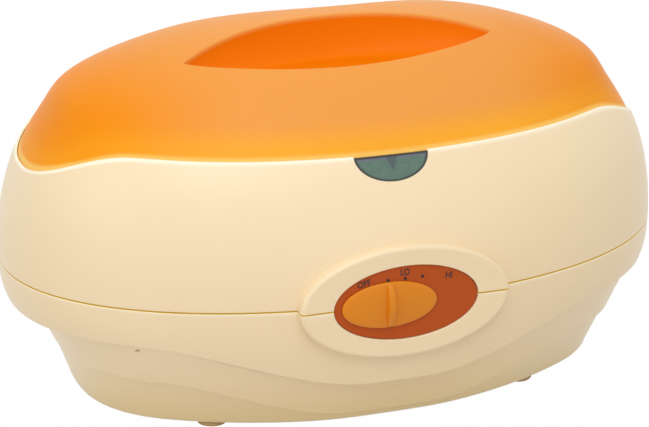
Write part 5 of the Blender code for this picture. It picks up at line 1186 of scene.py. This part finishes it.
class BATH_OT_control(bpy.types.Operator):
    """Build the oval plate, the slide knob, the letters and the dots"""
    bl_idname = "bath.control"
    bl_label = "Control"

    def execute(self, context):
        scene = context.scene
        form, housing, control = scene.bath_form, scene.bath_housing, scene.bath_control
        face = form.half_depth + housing.boss_proud - control.plate_sink
        self.plate(form, control, face)
        self.knob(form, control, face)
        ink = moulded("printed_ink", control.ink, 0.55)
        for text, x, z, tilt in LETTERS:
            self.letters(form, control, face, ink, text, x * MM, z * MM, radians(tilt))
        profile = [(control.dot_radius, -face), (control.dot_radius, -face - control.ink_thickness)]
        for name, side in (("dot_off", -1), ("dot_low", 0), ("dot_high", 1)):
            centre = (side * control.travel / 2 + control.dot_shift, 0, form.parting + control.dot_height)
            dress(turned(name, profile, centre, "Y", 24), "root", "black_plastic", ink)
        return {"FINISHED"}

    def plate(self, form, control, face):
        """Oval plate with the slot that the knob's stem runs in."""
        back = face - control.plate_thickness
        plate = upright_oval("oval_plate", control.plate_half_length, control.plate_half_height, face, back,
                             edge=control.plate_round)
        reach = (control.travel + control.stem_length) / 2 + 2 * form.fit_gap
        half = control.stem_height / 2 + form.fit_gap
        combine(plate, block("stem_slot", (-reach, -face - OVERRUN, form.parting - half),
                             (reach, -back + OVERRUN, form.parting + half)))
        rust = moulded("plate_plastic", control.rust, 0.40, grain=0.06, speck=1800.0,
                       Specular_IOR_Level=0.2)
        dress(fitted(plate), "root", "plate_plastic", rust, replaces=["control_plate"])

    def knob(self, form, control, face):
        """Thumb knob over upright sections from end to end: rounded edge, low crown and a blade across."""
        half_length, half_height = control.knob_half_length, control.knob_half_height
        blade = control.blade_half_width
        back, rest, rows, steps = face + form.fit_gap, -control.travel / 2, 26, 48
        edge_run, edge_share = 1.4 * MM, 0.55
        blade_foot, blade_narrowing, blade_reach = 1.25, 0.4, 0.97
        blade_side_power, blade_end_power = 5, 0.6
        places = [x for x in (sin(pi / 2 * k / rows) * half_length for k in range(rows - 1, 0, -1))
                  if x > blade * (blade_foot + 0.1)]
        places += [blade * s for s in (blade_foot, 1.1, 1.0, 0.92, 0.84, 0.74, 0.6, 0.4, 0.2)]
        places = [-x for x in places] + [0.0] + places[::-1]

        def thickness(x, z):
            reach = ((x / half_length) ** 2 + (z / half_height) ** 2) ** 0.5
            from_edge = min(max(1 - reach, 0.0) * half_height / edge_run, 1.0)
            low = blend(control.knob_edge, control.knob_crown, 1 - min(reach, 1.0) ** 2)
            body = blend(control.knob_edge * edge_share, low, (1 - (1 - from_edge) ** 2) ** 0.5)
            foot = blade * blade_foot * (1 - blade_narrowing * (z / half_height) ** 2)
            across = max(1 - (abs(x) / foot) ** blade_side_power, 0.0) ** 0.5
            along = max(1 - (z / (half_height * blade_reach)) ** 2, 0.0) ** blade_end_power
            return body + (control.knob_height - control.knob_crown) * across * along

        rings = []
        for x in places:
            half = half_height * (1 - (x / half_length) ** 2) ** 0.5
            rows_up = [half * sin(pi / 2 * (-1 + 2 * k / steps)) for k in range(steps + 1)]
            section = [(back, -half)] + [(back + thickness(x, z), z) for z in rows_up] + [(back, half)]
            rings.append([Vector((rest + x, -depth, form.parting + z)) for depth, z in section])
        knob = loft("thumb_knob", rings)
        half, up = control.stem_length / 2, control.stem_height / 2
        stem_end = -face + control.plate_thickness + OVERRUN + form.fit_gap
        stem = block("stem", (rest - half, -back - form.fit_gap, form.parting - up),
                     (rest + half, stem_end, form.parting + up))
        combine(knob, stem, "UNION")
        orange = moulded("knob_plastic", control.knob, 0.33, grain=0.04, speck=1600.0,
                         Specular_IOR_Level=0.3)
        smooth(knob, radians(42))
        dress(knob, "slider", "knob_plastic", orange, replaces=["slide_knob"])

    def letters(self, form, control, face, ink, text, x, z, tilt):
        """Flat capitals printed on the plate, narrowed and turned to follow its oval."""
        curve = bpy.data.curves.new(text, "FONT")
        curve.body = text
        curve.align_x = curve.align_y = "CENTER"
        curve.extrude = 0.5
        curve.offset = control.letter_weight
        curve.resolution_u = 6
        carrier = bpy.data.objects.new(text, curve)
        bpy.context.scene.collection.objects.link(carrier)
        graph = bpy.context.evaluated_depsgraph_get()
        mesh = bpy.data.meshes.new_from_object(carrier.evaluated_get(graph))
        bpy.data.objects.remove(carrier)
        heights = [v.co.y for v in mesh.vertices]
        size = control.letter_height / (max(heights) - min(heights))
        place = Matrix.Translation((x, form.shift - face - control.ink_thickness / 2, form.parting + z))
        upright = Matrix.Rotation(-tilt, 4, "Y") @ Matrix.Rotation(pi / 2, 4, "X")
        scale = Matrix.Diagonal((size * control.letter_width, size, control.ink_thickness, 1))
        mesh.transform(place @ upright @ scale)
        piece = bpy.data.objects.new("label_" + text.lower(), mesh)
        bpy.context.scene.collection.objects.link(piece)
        dress(piece, "root", "black_plastic", ink)


# Tank, seal and guard

class BATH_OT_tank(bpy.types.Operator):
    """Build the aluminium tank, its seal and the loose finger guard"""
    bl_idname = "bath.tank"
    bl_label = "Tank"

    def execute(self, context):
        scene = context.scene
        form, bath, seat = scene.bath_form, scene.bath_tub, scene.bath_housing.seat_height
        flange_low = seat + bath.seal_thickness + 2 * form.fit_gap
        self.tank(bath, flange_low)
        self.seal(form, bath, seat + form.fit_gap)
        self.guard(form, bath, flange_low)
        return {"FINISHED"}

    def tank(self, bath, flange_low):
        """Drawn tank with a rounded floor, a drafted wall and a flange."""
        low, top = bath.floor, flange_low + bath.wall
        heights = [low + bath.corner * (1 - cos(a)) for a in arc(pi / 2, 8)]
        heights += [blend(low + bath.corner, flange_low, k / 6) for k in range(1, 7)]
        rings = [oval(*bath.section(flange_low, h, 0.0), bath.power, h, OVAL_STEPS) for h in heights]
        first = len(rings)
        radii = {first - 1: bath.flange_corner, first: bath.flange_round, first + 1: bath.flange_round,
                 first + 2: bath.mouth_round}
        reach = (bath.half_length + bath.flange_width, bath.half_depth + bath.flange_width)
        rings += [oval(*reach, bath.power, z, OVAL_STEPS) for z in (flange_low, top)]
        for h in reversed(heights):
            z = top if h == heights[-1] else h + bath.wall
            rings.append(oval(*bath.section(flange_low, h, -bath.wall), bath.power, z, OVAL_STEPS))
        tank = loft("wax_tank", rounded(rings, radii))
        drawn = metal("tank_aluminium", bath.metal, 0.30, (2, 2, 40), 90.0, 0.06)
        dress(fitted(tank), "root", "tank_aluminium", drawn, replaces=["tank"])

    def seal(self, form, bath, low):
        """Silicone ring under the flange."""
        high, edge = low + bath.seal_thickness, 0.35 * MM
        outer = [v + bath.flange_width - form.fit_gap for v in (bath.half_length, bath.half_depth)]
        inner = [v - bath.seal_width for v in outer]
        rings = [oval(*reach, bath.power, z, OVAL_STEPS)
                 for reach, z in ((outer, low), (outer, high), (inner, high), (inner, low))]
        seal = loft("flange_seal", rounded(rings, {k: edge for k in range(4)}, 3, True), closed=True)
        silicone = moulded("silicone", SILICONE, 0.6, grain=0.1)
        dress(seal, "root", "silicone", silicone, replaces=["tank_gasket"])

    def guard(self, form, bath, flange_low):
        """Loose oval guard on four legs, with two rows of slots."""
        floor = bath.floor + bath.wall + form.fit_gap
        high = floor + bath.guard_height
        low = high - bath.guard_thickness
        half_length, half_depth = bath.section(flange_low, high, -bath.wall - bath.guard_margin)
        rim, edge = 3 * MM, 0.6 * MM
        rings = [oval(half_length - inset, half_depth - inset, bath.power, z, OVAL_STEPS)
                 for z, inset in ((low, rim), (low, 0.0), (high, 0.0), (high, rim))]
        guard = loft("finger_guard", rounded(rings, {1: edge, 2: edge}, 4))
        leg_x, leg_y = half_length * bath.leg_x_share, half_depth * bath.leg_y_share
        for _, sx, sy in CORNERS:
            profile = [(bath.leg_radius, floor), (bath.leg_radius, low + bath.guard_thickness / 2)]
            combine(guard, turned("leg", profile, (sx * leg_x, sy * leg_y, 0), steps=32), "UNION")

        pitch = bath.slot_width + bath.bar_width
        number = int((half_length - bath.border) / pitch)
        leg_room = bath.leg_radius + bath.slot_width / 2 + bath.guard_thickness
        slots = bmesh.new()
        for k in range(-number, number):
            x = (k + 0.5) * pitch
            share_left = 1 - abs(x / half_length) ** bath.power
            reach = half_depth * share_left ** (1 / bath.power) - bath.border
            if reach >= bath.border and abs(abs(x) - leg_x) >= leg_room:
                for side in (-1, 1):
                    self.slot(slots, form, bath, x, side, reach, low - OVERRUN, high + OVERRUN)
        combine(guard, mesh_piece("slots", slots))
        white = moulded("grate_plastic", (0.70, 0.67, 0.60), 0.42)
        dress(fitted(guard), "root", "grate_plastic", white, replaces=["bath_grate"])

    def slot(self, bm, form, bath, x, side, reach, low, high):
        """One slot with round ends, added to a mesh of slots."""
        radius = bath.slot_width / 2
        near, far = bath.bar_width / 2 + radius, reach - radius
        outline = [(x + radius * cos(a), near - radius * sin(a)) for a in arc(pi, 10)]
        outline += [(x - radius * cos(a), far + radius * sin(a)) for a in arc(pi, 10)]
        skin(bm, [[(px, side * py + form.shift, z) for px, py in outline] for z in (low, high)])


# Feet, gland and the sealed pieces

class BATH_OT_fittings(bpy.types.Operator):
    """Build the feet and the cord gland, and finish every sealed piece"""
    bl_idname = "bath.fittings"
    bl_label = "Fittings"

    def execute(self, context):
        scene = context.scene
        self.feet(scene.bath_tub)
        self.gland(scene.bath_form, scene.bath_tub)
        self.finish_nodes()
        return {"FINISHED"}

    def feet(self, bath):
        """Round rubber feet with a hollow middle and a stem pushed into the floor."""
        rubber = moulded("foot_rubber", bath.rubber, 0.75, grain=0.2, speck=700.0)
        radius, stem, top = bath.foot_radius, bath.foot_stem, bath.foot_stem_top
        hollow, inset_tip, tip = 0.5 * MM, 0.6 * MM, 0.4 * MM
        profile = [(0.4 * stem, hollow)] + [(radius - inset * MM, up * MM) for inset, up in FOOT_EDGE]
        profile += [(radius, bath.foot_height), (stem, bath.foot_height), (stem, top - tip),
                    (stem - inset_tip, top)]
        for name, sx, sy in CORNERS[::2] + CORNERS[1::2]:     # the front pair first
            foot = turned("pad_" + name, profile, (sx * bath.foot_x, sy * bath.foot_y, 0))
            dress(foot, "root", "foot_rubber", rubber, replaces=["foot_" + name])

    def gland(self, form, bath):
        """Bush in the rear wall with an open bore for the cord."""
        seat = form.half_depth - bath.gland_depth + form.fit_gap
        inside, face = seat - bath.gland_length, seat + bath.gland_flange
        radius, bore, body = bath.gland_radius, bath.gland_bore, bath.gland_body
        nose, bevel, edge, mouth = 0.4 * MM, 0.6 * MM, 0.3 * MM, 1.4 * MM
        profile = [(body - nose, inside), (body, inside + nose), (body, seat), (radius, seat),
                   (radius, face - bevel), (radius - bevel, face), (bore + mouth, face),
                   (bore + edge, face - bevel), (bore, face - mouth), (bore, inside + edge),
                   (bore + edge, inside)]
        gland = turned("gland_bush", profile, (0, 0, bath.gland_height), "Y", closed=True)
        black = moulded("black_plastic", (0.012, 0.012, 0.012), 0.45, grain=0.15)
        dress(fitted(gland), "root", "black_plastic", black, replaces=["cord_gland"])

    def finish_nodes(self):
        """Give each node that stays a finished material by its slot in the record."""
        finishes = {
            "plated_steel": metal("plated_steel", (0.56, 0.55, 0.52), 0.34, (30, 1, 30)),
            "mica": moulded("mica", (0.30, 0.22, 0.13), 0.6, grain=0.25, speck=300.0),
            "glass_felt": woven("glass_felt", (0.66, 0.62, 0.53), 1.6 * MM),
            "thermostat_body": moulded("thermostat_body", (0.022, 0.018, 0.016), 0.5, grain=0.2),
            "black_plastic": moulded("switch_plastic", (0.014, 0.014, 0.014), 0.42, grain=0.12),
            "board": moulded("board", (0.24, 0.14, 0.04), 0.55, grain=0.2, speck=500.0),
            "lamp_glass": moulded("lamp_glass", (0.75, 0.22, 0.08), 0.08, grain=0.01),
            "silicone": moulded("silicone_sleeve", SILICONE, 0.6),
        }
        for row in frame["record"]["subparts"]:
            node = frame["nodes"][row["node"]]
            finish = finishes.get(row["material_slot"])
            if finish and not node.hide_render:
                node.data.materials.clear()
                node.data.materials.append(finish)


# Stage

class BATH_OT_stage(bpy.types.Operator):
    """Set the floor, the lamps, the surroundings and the camera"""
    bl_idname = "bath.stage"
    bl_label = "Stage"

    def execute(self, context):
        scene = context.scene
        stage = scene.bath_stage
        scene.view_settings.view_transform = "Standard"
        self.floor(stage)
        self.surroundings(scene, stage)
        for name, place, size, energy in (("key_lamp", (-0.25, -0.75, 1.25), 1.1, stage.key_power),
                                          ("fill_lamp", (-1.4, -0.6, 0.55), 1.0, stage.fill_power),
                                          ("back_lamp", (0.5, 1.2, 1.1), 0.9, stage.back_power)):
            self.lamp(name, Vector(place), Vector((0, 0, stage.lamp_aim)), size, energy)
        self.camera(scene, scene.bath_form.shift, stage)
        return {"FINISHED"}

    def floor(self, stage):
        """Large floor that shows plain white and gives back a softer tone to the bath."""
        bm = bmesh.new()
        bmesh.ops.create_grid(bm, x_segments=1, y_segments=1, size=4.0)
        floor = mesh_piece("floor", bm)
        recipe = Recipe("floor_white")
        plain = recipe.node("ShaderNodeBsdfDiffuse", inputs={"Color": (*stage.floor_tone, 1.0)})
        white = recipe.node("ShaderNodeEmission", inputs={"Color": (1, 1, 1, 1), "Strength": 1.0})
        amount = recipe.seen_directly() * stage.floor_white
        recipe.done(recipe.node("ShaderNodeMixShader", inputs={0: amount, 1: plain, 2: white}))
        floor.data.materials.append(recipe.material)

    def surroundings(self, scene, stage):
        """White behind the bath, and a softer white for the light that falls on it."""
        scene.world = bpy.data.worlds.new("surroundings")
        recipe = Recipe("surroundings", scene.world)
        level = stage.ambient + recipe.seen_directly() * (1 - stage.ambient)
        background = recipe.node("ShaderNodeBackground", inputs={"Color": (1, 1, 1, 1), "Strength": level})
        recipe.node("ShaderNodeOutputWorld", inputs={"Surface": background})

    def lamp(self, name, place, aim, size, energy):
        data = bpy.data.lights.new(name, "AREA")
        data.shape = "DISK"
        data.size = size
        data.energy = energy
        lamp = bpy.data.objects.new(name, data)
        lamp.location = place
        lamp.rotation_euler = (aim - place).to_track_quat("-Z", "Y").to_euler()
        bpy.context.scene.collection.objects.link(lamp)

    def camera(self, scene, shift, stage):
        a, e = stage.azimuth, stage.elevation
        back = Vector((-sin(a) * cos(e), -cos(a) * cos(e), sin(e)))
        right = Vector((cos(a), -sin(a), 0))
        up = back.cross(right)
        data = bpy.data.cameras.new("camera")
        data.sensor_width = 36
        data.lens = stage.lens
        data.clip_start = 0.05
        camera = bpy.data.objects.new("camera", data)
        place = right * stage.across + up * stage.upward + back * stage.distance + Vector((0, shift, 0))
        camera.matrix_world = Matrix.Translation(place) @ Matrix((right, up, back)).transposed().to_4x4()
        scene.collection.objects.link(camera)
        scene.camera = camera


# Panel and registration

GROUPS = (
    ("bath_form", BathForm), ("bath_skirt", SkirtForm), ("bath_housing", HousingSettings),
    ("bath_lid", LidSettings), ("bath_control", ControlSettings), ("bath_window", WindowSettings),
    ("bath_tub", BathSettings), ("bath_stage", StageSettings),
)
OPERATORS = (BATH_OT_housings, BATH_OT_lid, BATH_OT_control, BATH_OT_window, BATH_OT_tank, BATH_OT_fittings,
             BATH_OT_stage)


class BATH_PT_panel(bpy.types.Panel):
    """Lists the build steps and their settings"""
    bl_label = "Paraffin bath"
    bl_idname = "BATH_PT_panel"
    bl_space_type = "VIEW_3D"
    bl_region_type = "UI"
    bl_category = "Bath"

    def draw(self, context):
        for step in OPERATORS:
            self.layout.operator(step.bl_idname)
        for attribute, group in GROUPS:
            box = self.layout.box()
            box.label(text=group.__doc__)
            for name in group.__annotations__:
                box.prop(getattr(context.scene, attribute), name)


def register():
    for attribute, group in GROUPS:
        bpy.utils.register_class(group)
        setattr(bpy.types.Scene, attribute, PointerProperty(type=group))
    for cls in (*OPERATORS, BATH_PT_panel):
        bpy.utils.register_class(cls)


def unregister():
    for cls in (BATH_PT_panel, *reversed(OPERATORS)):
        bpy.utils.unregister_class(cls)
    for attribute, group in reversed(GROUPS):
        delattr(bpy.types.Scene, attribute)
        bpy.utils.unregister_class(group)


def main():
    register()
    for step in (bpy.ops.bath.housings, bpy.ops.bath.lid, bpy.ops.bath.control, bpy.ops.bath.window,
                 bpy.ops.bath.tank, bpy.ops.bath.fittings, bpy.ops.bath.stage):
        step()


if __name__ == "__main__":
    main()
